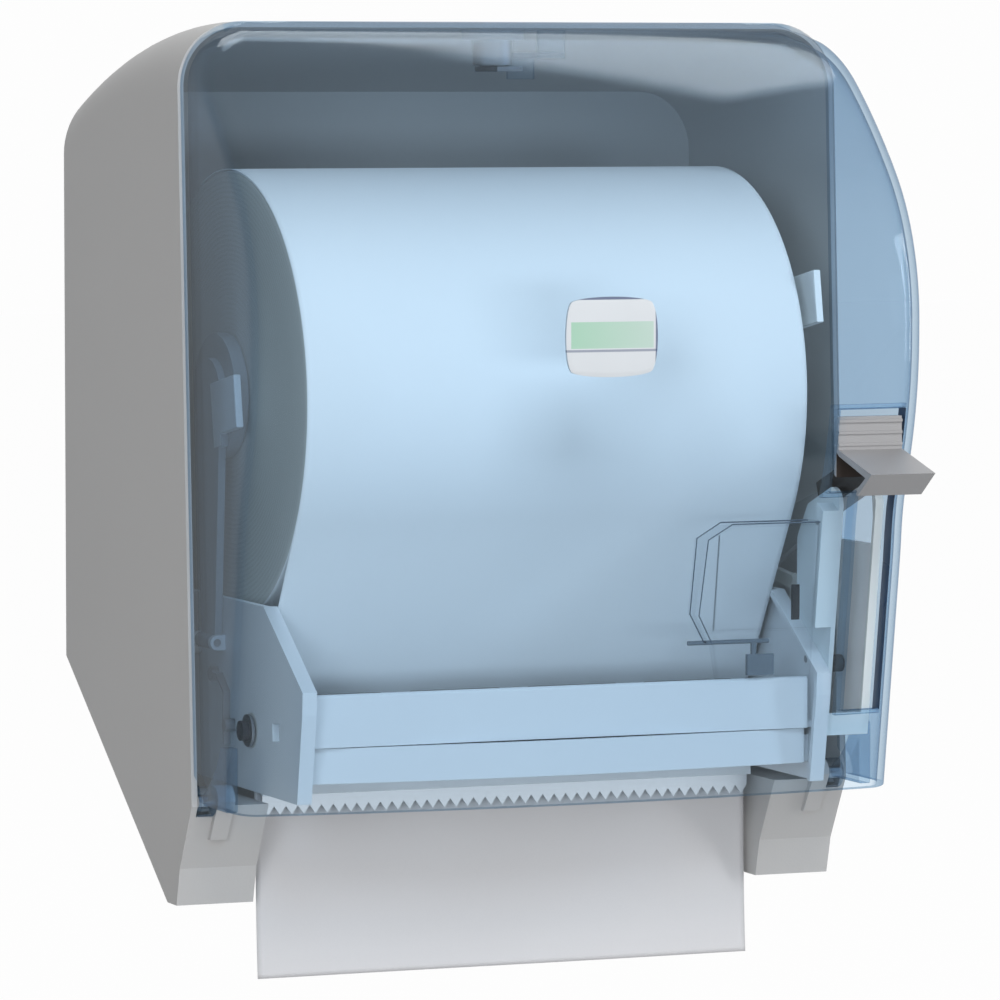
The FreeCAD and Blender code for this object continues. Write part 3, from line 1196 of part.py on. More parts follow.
def arm_lugs():
    """The two lugs of the left side plate that hold the arm's hinge pin."""
    lugs = []
    for t0 in (ROLL_T - ARM_FOOT_R - KNUCKLE_GAP - LUG_T, ROLL_T + ARM_FOOT_R + KNUCKLE_GAP):
        lug = block(PLATE_OUT - 0.5, arm_barrel_x(), t0, t0 + LUG_T, ARM_PIVOT_Z - ARM_WALL,
                    ARM_PIVOT_Z + ARM_WALL)
        lugs.append(lug.fuse(arm_bar(ARM_WALL, t0, t0 + LUG_T)).cut(arm_bar(ARM_PIN_R, t0 - 1, t0 + 9)))
    return lugs


def make_arm_pin():
    """The pin of the left arm's hinge."""
    reach = ARM_FOOT_R + KNUCKLE_GAP + LUG_T
    return mirrored(arm_bar(ARM_PIN_R, ROLL_T - reach, ROLL_T + reach))


def make_core_hub(side):
    """The tapered plug of a roll arm that the core turns on."""
    base_r = CORE_R - CORE_WALL - HUB_FIT
    cone = Part.makeCone(base_r, base_r - HUB_TAPER, HUB_IN, tz(ROLL_T, ROLL_Z, ROLL_HALF), V(-1, 0, 0))
    flange = rod(CORE_R + 3.0, ROLL_T, ROLL_Z, ROLL_HALF + 0.5, ARM_X)
    neck = rod(base_r, ROLL_T, ROLL_Z, ROLL_HALF, ROLL_HALF + 0.5)
    bore = rod(base_r - HUB_TAPER - 2.5, ROLL_T, ROLL_Z, ROLL_HALF - HUB_IN - 1.0, ARM_X - 2.0)
    body = fuse([cone, neck, flange]).cut(bore)
    return body if side > 0 else mirrored(body)


def make_roll_core():
    """The cardboard core."""
    return ring(CORE_R, CORE_R - CORE_WALL, ROLL_T, ROLL_Z, -ROLL_HALF, ROLL_HALF)


def make_towel_roll():
    """The wound towel."""
    return ring(ROLL_R, CORE_R, ROLL_T, ROLL_Z, -ROLL_HALF, ROLL_HALF)


# ---- towel --------------------------------------------------------------------------------------
def make_towel_web():
    """The stretch of towel from the roll over the bar's edge and the feed roller to the nip."""
    guide_t = BAR_FRONT_T - BAR_WALL - 5.0
    wrap_r = FEED_R + NIP_GAP
    start_t = ROLL_T + ROLL_R + 0.3
    start_z = ROLL_Z
    guide = (guide_t, BAR_TOP_Z - 1.0)
    dt, dz = guide[0] - FEED_T, guide[1] - FEED_Z
    far = math.hypot(dt, dz)
    aim = math.degrees(math.atan2(dz, dt)) + math.degrees(math.acos(wrap_r / far))
    aim_out = math.degrees(math.atan2(dz, dt)) + math.degrees(math.acos((wrap_r + PAPER) / far))
    feed = (FEED_T, FEED_Z)
    middle = (aim + 180.0) / 2.0
    hang = FEED_Z - FEED_TRAVEL - 12.0
    outline = [guide, polar(feed, wrap_r, aim), (polar(feed, wrap_r, middle), polar(feed, wrap_r, 180.0)),
               (FEED_T - wrap_r, hang), (FEED_T - wrap_r - PAPER, hang),
               (FEED_T - wrap_r - PAPER, FEED_Z),
               (polar(feed, wrap_r + PAPER, middle), polar(feed, wrap_r + PAPER, aim_out)),
               (guide[0] - 0.1, guide[1] + PAPER), (start_t, start_z)]
    half = ROLL_HALF
    return side_prism((start_t + PAPER, start_z), outline, -half, half)


def make_towel_tail():
    """The hanging end of the towel, in front of the web where the blade cuts it."""
    t0 = FEED_T - FEED_R - NIP_GAP + SHEET_GAP
    top = FEED_Z - FEED_R - 3.0
    curl = 3.0
    outline = [(t0, (top + TAIL_BOTTOM_Z) / 2.0 + 10.0),
               ((t0 + curl * 0.3, (top + TAIL_BOTTOM_Z) / 2.0 - 18.0), (t0 + curl, TAIL_BOTTOM_Z)),
               (t0 + curl + TAIL_LAYER, TAIL_BOTTOM_Z),
               ((t0 + curl * 0.3 + TAIL_LAYER, (top + TAIL_BOTTOM_Z) / 2.0 - 18.0),
                (t0 + TAIL_LAYER, (top + TAIL_BOTTOM_Z) / 2.0 + 10.0)),
               (t0 + TAIL_LAYER, top)]
    return side_prism((t0, top), outline, -ROLL_HALF, ROLL_HALF)


def main():
    """Build every sub-part and write it."""
    os.makedirs("parts", exist_ok=True)
    save("rear_housing", make_rear_housing())
    save("front_cover", make_front_cover())
    save("badge", make_badge())
    save("cover_strike", make_cover_strike())
    right_pin, left_pin = hinge_pin_pair()
    save("hinge_pin_right", right_pin)
    save("hinge_pin_left", left_pin)
    save("lock_barrel", make_lock_barrel())
    save("lock_plug", make_lock_plug())
    save("lock_cam", make_lock_cam())
    save("left_side_plate", make_side_plate(-1))
    save("right_side_plate", make_side_plate(1))
    save("chassis_screws", make_chassis_screws())
    save("cross_member", make_cross_member())
    save("paper_lip", make_paper_lip())
    save("tear_bar", make_tear_bar())
    save("rear_guide", make_rear_guide())
    save("feed_shaft", make_feed_shaft())
    save("feed_grips", make_feed_grips())
    save("left_bush", make_bush(-1))
    save("right_bush", make_bush(1))
    save("shaft_clip", make_retaining_ring())
    save("pressure_shaft", make_pressure_shaft())
    save("pressure_rollers", make_pressure_rollers())
    save("left_pressure_spring", make_pressure_spring(-1))
    save("right_pressure_spring", make_pressure_spring(1))
    save("roller_gear", make_roller_gear())
    save("sector_gear", make_sector_gear())
    save("lever", make_lever())
    save("lever_bush", make_lever_bush())
    save("lever_pin", make_lever_pin())
    save("lever_spring", make_lever_spring())
    save("lever_case", make_lever_case())
    save("case_cover", make_case_cover())
    save("case_screws", make_case_screws())
    save("roll_guard", make_roll_guard())
    save("guard_latch", make_guard_latch())
    save("guard_stop", make_guard_stop())
    save("lever_buffer", make_lever_buffer())
    save("right_roll_arm", make_right_roll_arm())
    save("arm_screw", make_arm_screw())
    save("left_roll_arm", make_left_roll_arm())
    save("arm_pin", make_arm_pin())
    save("right_core_hub", make_core_hub(1))
    save("left_core_hub", make_core_hub(-1))
    save("roll_core", make_roll_core())
    save("towel_roll", make_towel_roll())
    save("towel_web", make_towel_web())
    save("towel_tail", make_towel_tail())


main()
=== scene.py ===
"""Visual model of a wall dispenser for paper towels, fed by a push lever.

A grey moulded back carries a white chassis with the towel roll, a feed roller and a serrated
blade. A clear tinted cover closes it, and a lever stands out through a slot in the cover.
Lengths in this file are in millimetres unless a name says otherwise; side outlines are pairs
(t, z), where t is the depth in front of the wall, so Y = -t.
"""
import json
import logging
import math
from dataclasses import dataclass, field
from enum import Enum
from typing import Iterable, Sequence

import bmesh
import bpy
import numpy as np
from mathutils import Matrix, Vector

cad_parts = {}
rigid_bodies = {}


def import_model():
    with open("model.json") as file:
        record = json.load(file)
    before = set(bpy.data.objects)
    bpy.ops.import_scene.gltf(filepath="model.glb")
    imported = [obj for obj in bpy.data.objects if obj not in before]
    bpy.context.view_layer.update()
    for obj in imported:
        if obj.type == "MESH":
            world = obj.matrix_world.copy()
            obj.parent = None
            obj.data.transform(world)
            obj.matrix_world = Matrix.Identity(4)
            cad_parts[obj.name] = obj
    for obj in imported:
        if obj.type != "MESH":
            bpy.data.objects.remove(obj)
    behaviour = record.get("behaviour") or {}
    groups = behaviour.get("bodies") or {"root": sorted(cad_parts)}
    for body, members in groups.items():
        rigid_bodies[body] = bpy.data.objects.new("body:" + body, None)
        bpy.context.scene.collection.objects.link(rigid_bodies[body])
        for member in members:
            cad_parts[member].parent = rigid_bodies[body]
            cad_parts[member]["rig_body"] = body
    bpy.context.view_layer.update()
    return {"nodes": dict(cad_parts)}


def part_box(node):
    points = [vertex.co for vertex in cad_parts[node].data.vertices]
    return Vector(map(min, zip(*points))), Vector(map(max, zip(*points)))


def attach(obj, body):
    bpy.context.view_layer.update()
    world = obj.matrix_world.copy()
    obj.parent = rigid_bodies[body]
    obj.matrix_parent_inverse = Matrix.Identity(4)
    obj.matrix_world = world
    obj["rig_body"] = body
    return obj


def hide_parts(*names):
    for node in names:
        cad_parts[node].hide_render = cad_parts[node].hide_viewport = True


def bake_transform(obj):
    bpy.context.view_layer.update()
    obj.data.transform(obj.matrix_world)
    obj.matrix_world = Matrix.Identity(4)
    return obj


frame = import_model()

MM = 0.001
LOG = logging.getLogger("dispenser")
Colour = tuple[float, float, float]
Pair = tuple[float, float]
Socket = bpy.types.NodeSocket


class Finish(Enum):
    """The finishes of the dispenser; each value is the name of its material."""

    HOUSING = "housing_grey"
    COVER = "cover_tint"
    COVER_EDGE_PAINTED_SHADE = "cover_edge_painted_shade"
    GUARD = "guard_clear"
    BADGE = "badge_white"
    STEEL = "steel"
    BLADE = "blade_steel"
    CHASSIS = "chassis_pale"
    SHAFT = "shaft_dark"
    RUBBER = "grip_rubber"
    BEARING = "bearing"
    GEAR = "gear_plastic"
    LEVER = "lever_grey"
    CASE = "case_pale"
    TAB = "tab_white"
    ARM_PAINTED_SHADE = "arm_painted_shade"
    CASE_LID_PAINTED_LIGHT = "case_lid_painted_light"
    HUB_PAINTED_SHADE = "hub_plastic"
    CARD = "core_card"
    TOWEL = "towel_paper"
    TAIL_PAINTED_SHADE = "towel_tail_painted_shade"
    HOLLOW_PAINTED_SHADE = "lever_painted_shade"
    LATCH = "latch_grey"
    GUARD_EDGE = "guard_edge"
    LOCK_PAINTED_SHADE = "lock_steel_painted_shade"
    ROLL = "towel_roll_paper"

    @property
    def slot(self) -> str:
        """The slot that this finish is a variant of, or its own name.

        Returns:
            The slot's name.
        """
        shared = {"cover_edge_painted_shade": "cover_tint", "towel_roll_paper": "towel_paper",
                  "towel_tail_painted_shade": "towel_paper", "lever_painted_shade": "lever_grey",
                  "latch_grey": "shaft_dark", "guard_edge": "guard_clear", "lock_steel_painted_shade": "steel",
                  "arm_painted_shade": "tab_white", "case_lid_painted_light": "case_pale"}
        return shared.get(self.value, self.value)


# ---- shader groups ------------------------------------------------------------------------------
class Graph:
    """A node tree with short calls to add and join nodes."""

    def __init__(self, tree: bpy.types.NodeTree) -> None:
        """Start on a material's or group's empty tree."""
        self.tree = tree

    def fill(self, socket: Socket, value: object) -> None:
        """Join an output to an input socket, or give the socket a plain value.

        Args:
            socket: the input.
            value: an output socket, a plain value, or None to leave the input as it is.
        """
        if isinstance(value, bpy.types.NodeSocket):
            self.tree.links.new(value, socket)
        elif value is not None:
            socket.default_value = value

    def add(self, kind: str, *feeds: object, settings: dict | None = None,
            **values: object) -> bpy.types.Node:
        """Add a node and fill its inputs, with sockets to join or with plain values.

        Args:
            kind: the node's type, such as ShaderNodeMath.
            *feeds: what its first inputs get, in order.
            settings: attributes of the node itself.
            **values: what its other inputs get, by name, with _ for a space.

        Returns:
            The new node.
        """
        node = self.tree.nodes.new(kind)
        for name, value in (settings or {}).items():
            setattr(node, name, value)
        for place, value in enumerate(feeds):
            self.fill(node.inputs[place], value)
        for name, value in values.items():
            self.fill(node.inputs[name.replace("_", " ")], value)
        return node

    def maths(self, operation: str, a: object, b: object = None, clamp: bool = False) -> Socket:
        """The result of a Math node on one or two sockets or numbers, held in 0 to 1 if clamped."""
        settings = {"operation": operation, "use_clamp": clamp}
        return self.add("ShaderNodeMath", a, b, settings=settings).outputs[0]

    def times(self, a: object, b: object, clamp: bool = False) -> Socket:
        """The product of two sockets or numbers."""
        return self.maths("MULTIPLY", a, b, clamp)

    def line(self, value: Socket, slope: float, start: object, clamp: bool = False) -> Socket:
        """A straight line of a value: start + slope times the value."""
        return self.maths("ADD", self.times(value, slope), start, clamp)

    def between(self, value: Socket, low: float, high: float) -> Socket:
        """1 where a value lies between two limits, and 0 elsewhere."""
        return self.times(self.maths("GREATER_THAN", value, low), self.maths("LESS_THAN", value, high))

    def blend(self, share: object, a: object, b: object) -> Socket:
        """A mix of two colours.

        Args:
            share: 0 for the first colour, 1 for the second, or a socket.
            a: the first colour.
            b: the second colour.

        Returns:
            The mixed colour.
        """
        node = self.add("ShaderNodeMix", share, settings={"data_type": "RGBA"})
        self.fill(node.inputs[6], a)
        self.fill(node.inputs[7], b)
        return node.outputs[2]

    def place(self) -> Socket:
        """The piece's own coordinates."""
        return self.add("ShaderNodeTexCoord").outputs["Object"]

    def normal(self) -> bpy.types.NodeOutputs:
        """The parts X, Y and Z of the face's normal."""
        normal = self.add("ShaderNodeNewGeometry").outputs["Normal"]
        return self.add("ShaderNodeSeparateXYZ", normal).outputs

    def noise(self, place: Socket, **values: object) -> Socket:
        """A noise pattern at a place."""
        return self.add("ShaderNodeTexNoise", Vector=place, **values).outputs["Fac"]

    def bump(self, height: Socket, strength: float, depth: float) -> Socket:
        """The normal that a height gives, by its strength and its depth in metres."""
        node = self.add("ShaderNodeBump", Height=height, Strength=strength, Distance=depth)
        return node.outputs["Normal"]

    def group(self, name: str, **values: float) -> bpy.types.NodeOutputs:
        """Place a shader group of GROUPS with its own values, and give its outputs."""
        return self.add("ShaderNodeGroup", settings={"node_tree": GROUPS[name]}, **values).outputs

    def skin(self, **values: object) -> Socket:
        """A Principled shader with the values of its inputs."""
        return self.add("ShaderNodeBsdfPrincipled", **values).outputs[0]

    def layered(self, share: object, under: Socket, over: Socket) -> Socket:
        """One shader over another, by the share of the upper one."""
        return self.add("ShaderNodeMixShader", share, under, over).outputs[0]

    def seen(self) -> Socket:
        """Mark what the camera sees straight, mirrored or through a clear wall.

        Returns:
            1 there and 0 elsewhere.
        """
        path = self.add("ShaderNodeLightPath").outputs
        seen = self.maths("MAXIMUM", path["Is Camera Ray"], path["Is Glossy Ray"])
        return self.maths("MAXIMUM", seen, path["Is Transmission Ray"])


def new_group(name: str, inputs: dict[str, float],
              outputs: Sequence[str]) -> tuple[Graph, bpy.types.NodeOutputs, bpy.types.NodeInputs]:
    """Make an empty shader group with named float sockets.

    Args:
        name: the group's name.
        inputs: name and default value of each input.
        outputs: name of each output.

    Returns:
        The group's graph, the sockets that bring its inputs and those that take its outputs.
    """
    tree = bpy.data.node_groups.new(name, "ShaderNodeTree")
    for label, value in inputs.items():
        socket = tree.interface.new_socket(name=label, in_out="INPUT", socket_type="NodeSocketFloat")
        socket.default_value = value
    for label in outputs:
        tree.interface.new_socket(name=label, in_out="OUTPUT", socket_type="NodeSocketFloat")
    graph = Graph(tree)
    return graph, graph.add("NodeGroupInput").outputs, graph.add("NodeGroupOutput").inputs


def make_grain() -> bpy.types.NodeTree:
    """The fine spark texture of moulded plastic: a height and a slow drift, both from noise.

    Returns:
        The group's tree.
    """
    graph, given, result = new_group("moulded_grain", {"Scale": 900.0, "Drift Scale": 9.0},
                                     ("Height", "Drift"))
    where = graph.place()
    graph.fill(result["Height"], graph.noise(where, Scale=given["Scale"], Detail=2.0, Roughness=0.6))
    graph.fill(result["Drift"], graph.noise(where, Scale=given["Drift Scale"], Detail=3.0, Roughness=0.55))
    return graph.tree


def make_dust() -> bpy.types.NodeTree:
    """Dust that settles on faces turned up: a mask from the normal, broken up by noise.

    The mask is the third power of the normal's upward part, times a noise and the amount.

    Returns:
        The group's tree.
    """
    graph, given, result = new_group("settled_dust", {"Amount": 0.3, "Scale": 60.0}, ("Mask",))
    up = graph.maths("SMOOTH_MIN", graph.maths("MAXIMUM", graph.normal()["Z"], 0.0), 1.0)
    cloud = graph.noise(graph.place(), Scale=given["Scale"], Detail=4.0, Roughness=0.65)
    cloudy = graph.times(graph.maths("POWER", up, 3.0), cloud)
    graph.fill(result["Mask"], graph.times(cloudy, given["Amount"], True))
    return graph.tree


def make_crepe() -> bpy.types.NodeTree:
    """Embossed crepe paper: small soft cells over fine fibres, four fifths to one fifth.

    Returns:
        The group's tree.
    """
    graph, given, result = new_group("crepe_emboss", {"Cell Scale": 260.0, "Fibre Scale": 1500.0},
                                     ("Height", "Fibre"))
    where = graph.place()
    cells = graph.add("ShaderNodeTexVoronoi", settings={"feature": "SMOOTH_F1"}, Vector=where,
                      Scale=given["Cell Scale"], Smoothness=0.6, Randomness=0.35)
    fibres = graph.noise(where, Scale=given["Fibre Scale"], Detail=3.0, Roughness=0.7)
    graph.fill(result["Height"], graph.line(cells.outputs["Distance"], 0.8, graph.times(fibres, 0.2)))
    graph.fill(result["Fibre"], fibres)
    return graph.tree


GROUPS = {"grain": make_grain(), "dust": make_dust(), "crepe": make_crepe()}


def rgba(colour: Colour, share: float = 1.0) -> tuple[float, ...]:
    """A share of a colour, with full alpha."""
    return (*(share * part for part in colour), 1.0)


class Material:
    """A finish that builds a Blender material from a shader."""

    def shader(self, graph: Graph) -> Socket:
        """Add the finish's nodes to the material's graph and give its shader."""
        raise NotImplementedError

    def build(self, name: str) -> bpy.types.Material:
        """Build the material.

        Args:
            name: its name.

        Returns:
            The material.
        """
        material = bpy.data.materials.new(name)
        material.use_nodes = True
        material.node_tree.nodes.clear()
        graph = Graph(material.node_tree)
        graph.add("ShaderNodeOutputMaterial", self.shader(graph))
        return material


@dataclass(frozen=True)
class MouldedPlastic(Material):
    """Moulded plastic with a spark texture, a slow drift of tone and settled dust.

    Attributes:
        colour: main colour, linear.
        deeper: colour where the tone drifts darker.
        roughness: middle roughness; it wanders by a tenth.
        grain_scale: how fine the spark texture is, per metre.
        grain_depth: strength of its bump.
        dust: how much dust lies on faces turned up.
        dust_colour: colour of the dust, linear.
    """

    colour: Colour
    deeper: Colour
    roughness: float = 0.5
    grain_scale: float = 900.0
    grain_depth: float = 0.12
    dust: float = 0.15
    dust_colour: Colour = (0.62, 0.60, 0.57)

    def shader(self, graph: Graph) -> Socket:
        """The plastic: its tone drifts, and dust lies over both tone and gloss.

        Args:
            graph: the material's graph.

        Returns:
            The shader.
        """
        grain = graph.group("grain", Scale=self.grain_scale, Drift_Scale=7.0)
        dust = graph.group("dust", Amount=self.dust, Scale=70.0)["Mask"]
        tone = graph.blend(grain["Drift"], rgba(self.deeper), rgba(self.colour))
        wander = graph.line(grain["Drift"], 0.2, self.roughness - 0.1, True)
        return graph.skin(Base_Color=graph.blend(dust, tone, rgba(self.dust_colour)),
                          Roughness=graph.line(dust, 0.3, wander, True),
                          Normal=graph.bump(grain["Height"], self.grain_depth, 0.0004))


@dataclass(frozen=True)
class ClearTint(Material):
    """Clear tinted plastic: light passes with a tint, which is deeper where it passes at a slant.

    Attributes:
        passing: share of each colour that one surface lets through straight on, linear.
        slanted: the same share at a grazing slant, where the way through the wall is longer.
        shine: colour of the reflection.
        straight: share that is reflected when looking straight on.
        steepness: power with which the reflection grows towards a slant.
        reach: share of full reflection that is added at a slant.
    """

    passing: Colour
    slanted: Colour
    shine: Colour = (0.80, 0.88, 0.94)
    straight: float = 0.015
    steepness: float = 5.0
    reach: float = 0.5

    def shader(self, graph: Graph) -> Socket:
        """The clear wall with its gloss laid over it.

        The tint deepens with the square of the slant; the gloss takes the share
        straight + reach times the slant to the power of the steepness.

        Args:
            graph: the material's graph.

        Returns:
            The shader.
        """
        facing = graph.add("ShaderNodeLayerWeight", Blend=0.5).outputs["Facing"]
        tint = graph.blend(graph.maths("POWER", facing, 2.0, True), rgba(self.passing), rgba(self.slanted))
        through = graph.add("ShaderNodeBsdfTransparent", Color=tint).outputs[0]
        drift = graph.group("grain", Scale=140.0, Drift_Scale=11.0)["Drift"]
        gloss = graph.skin(Base_Color=rgba(self.shine), Metallic=0.9,
                           Roughness=graph.line(drift, 0.10, 0.03))
        slant = graph.maths("POWER", facing, self.steepness)
        return graph.layered(graph.line(slant, self.reach, self.straight, True), through, gloss)


@dataclass(frozen=True)
class WorkedSteel(Material):
    """Bare steel with fine drawn streaks along one axis.

    Attributes:
        colour: reflected colour, linear.
        roughness: middle roughness.
        stretch: how the streaks are scaled along X, Y and Z.
    """

    colour: Colour = (0.56, 0.57, 0.59)
    roughness: float = 0.3
    stretch: tuple[float, float, float] = (30.0, 900.0, 900.0)

    def shader(self, graph: Graph) -> Socket:
        """The steel, with its streaks in tone, gloss and bump.

        Args:
            graph: the material's graph.

        Returns:
            The shader.
        """
        placed = graph.add("ShaderNodeMapping", Vector=graph.place(), Scale=self.stretch).outputs["Vector"]
        streak = graph.noise(placed, Scale=1.0, Detail=3.0, Roughness=0.6)
        return graph.skin(Base_Color=graph.blend(streak, rgba(self.colour, 0.82), rgba(self.colour)),
                          Metallic=1.0, Roughness=graph.line(streak, 0.22, self.roughness - 0.11),
                          Normal=graph.bump(streak, 0.08, 0.0002))


@dataclass(frozen=True)
class CrepePaper(Material):
    """Embossed paper towel, with the edges of its layers where it is wound on a roll.

    Attributes:
        colour: colour of the paper, linear.
        shade: colour in its hollows.
        wound_about: (t, z) of the roll's axis, or None for a single sheet.
        layers: layers per metre of radius that show on the roll's ends.
        end: colour of the roll's ends, where only the layers' cut edges show, darkened further as painted
            shade.
    """

    colour: Colour
    shade: Colour
    wound_about: Pair | None = None
    layers: float = 520.0
    # partly the paper edges' grey and partly painted shade on the roll's ends
    end: Colour = (0.56, 0.58, 0.56)

    def shader(self, graph: Graph) -> Socket:
        """The paper's tone and its embossed height, with rings on the ends of a roll.

        Args:
            graph: the material's graph.

        Returns:
            The shader.
        """
        crepe = graph.group("crepe", Cell_Scale=230.0, Fibre_Scale=1400.0)
        tone, height = graph.blend(crepe["Fibre"], rgba(self.shade), rgba(self.colour)), crepe["Height"]
        if self.wound_about is not None:
            tone, height = self.wound(graph, tone, height)
        return graph.skin(Base_Color=tone, Roughness=0.9, Specular_IOR_Level=0.2,
                          Normal=graph.bump(height, 0.09, 0.0005))

    def wound(self, graph: Graph, tone: Socket, height: Socket) -> tuple[Socket, Socket]:
        """Lay the rings of the wound layers over the ends of the roll.

        The rings are a sine of the distance from the roll's axis, shown where the normal points
        along X.

        Args:
            graph: the material's graph.
            tone: the paper's colour so far.
            height: the paper's height so far.

        Returns:
            The new colour and height.
        """
        t, z = self.wound_about
        placed = graph.add("ShaderNodeMapping", Vector=graph.place(), Location=(0.0, t * MM, -z * MM),
                           Scale=(0.0, 1.0, 1.0)).outputs["Vector"]
        length = graph.add("ShaderNodeVectorMath", placed, settings={"operation": "LENGTH"})
        wobble = graph.times(graph.noise(placed, Scale=30.0, Detail=2.0), 3.0)
        phase = graph.line(length.outputs["Value"], self.layers * 2.0 * math.pi, wobble)
        rings = graph.line(graph.maths("SINE", phase), 0.5, 0.5)
        on_end = graph.maths("GREATER_THAN", graph.maths("ABSOLUTE", graph.normal()["X"]), 0.7)
        shown = graph.times(graph.times(rings, on_end), 0.35)
        # the whole end takes the end colour: cut paper edges with painted shade
        tone = graph.blend(on_end, tone, rgba(self.end))
        return (graph.blend(shown, tone, rgba(self.end, 0.72)),
                graph.maths("SUBTRACT", height, graph.times(shown, 1.5)))


@dataclass(frozen=True)
class BadgePrint(Material):
    """The badge's face by its UV map: pale, with a printed line, a soft green band and painted shade along
    its top and right edges.

    Attributes:
        face: colour of the plate, linear.
        rim: colour of the printed line under the band and of the painted shade along the top and right
            edges.
        band: colour of its band.
        band_u: where the band starts and ends across the face.
        band_v: where it starts and ends up the face.
        line_v: the same for the line under it.
    """

    face: Colour = (0.655, 0.69, 0.725)
    rim: Colour = (0.03, 0.06, 0.16)
    band: Colour = (0.26, 0.54, 0.36)
    band_u: Pair = (0.05, 0.95)
    band_v: Pair = (0.36, 0.69)
    line_v: Pair = (0.315, 0.345)

    def shader(self, graph: Graph) -> Socket:
        """The plate's print, laid on in the order plate, band and line, with the painted shade at the rim
        last.

        Args:
            graph: the material's graph.

        Returns:
            The shader.
        """
        parts = graph.add("ShaderNodeSeparateXYZ", graph.add("ShaderNodeUVMap").outputs["UV"]).outputs
        u, v = parts["X"], parts["Y"]
        drift = graph.group("grain", Scale=1200.0, Drift_Scale=40.0)["Drift"]
        tone = graph.blend(drift, rgba(self.face, 0.93), rgba(self.face))
        inside = graph.times(graph.between(v, *self.band_v), graph.between(u, *self.band_u))
        tone = graph.blend(graph.times(inside, graph.line(u, -0.35, 0.75)), tone, rgba(self.band))
        tone = graph.blend(graph.times(graph.between(v, *self.line_v), 0.55), tone, rgba(self.rim))
        # painted shade: a dark strip along the top and right edges only
        edge = graph.maths("MAXIMUM", graph.maths("GREATER_THAN", v, 0.965),
                           graph.maths("GREATER_THAN", u, 0.975))
        return graph.skin(Base_Color=graph.blend(graph.times(edge, 0.8), tone, rgba(self.rim)),
                          Roughness=graph.line(drift, 0.15, 0.25), Specular_IOR_Level=0.3)


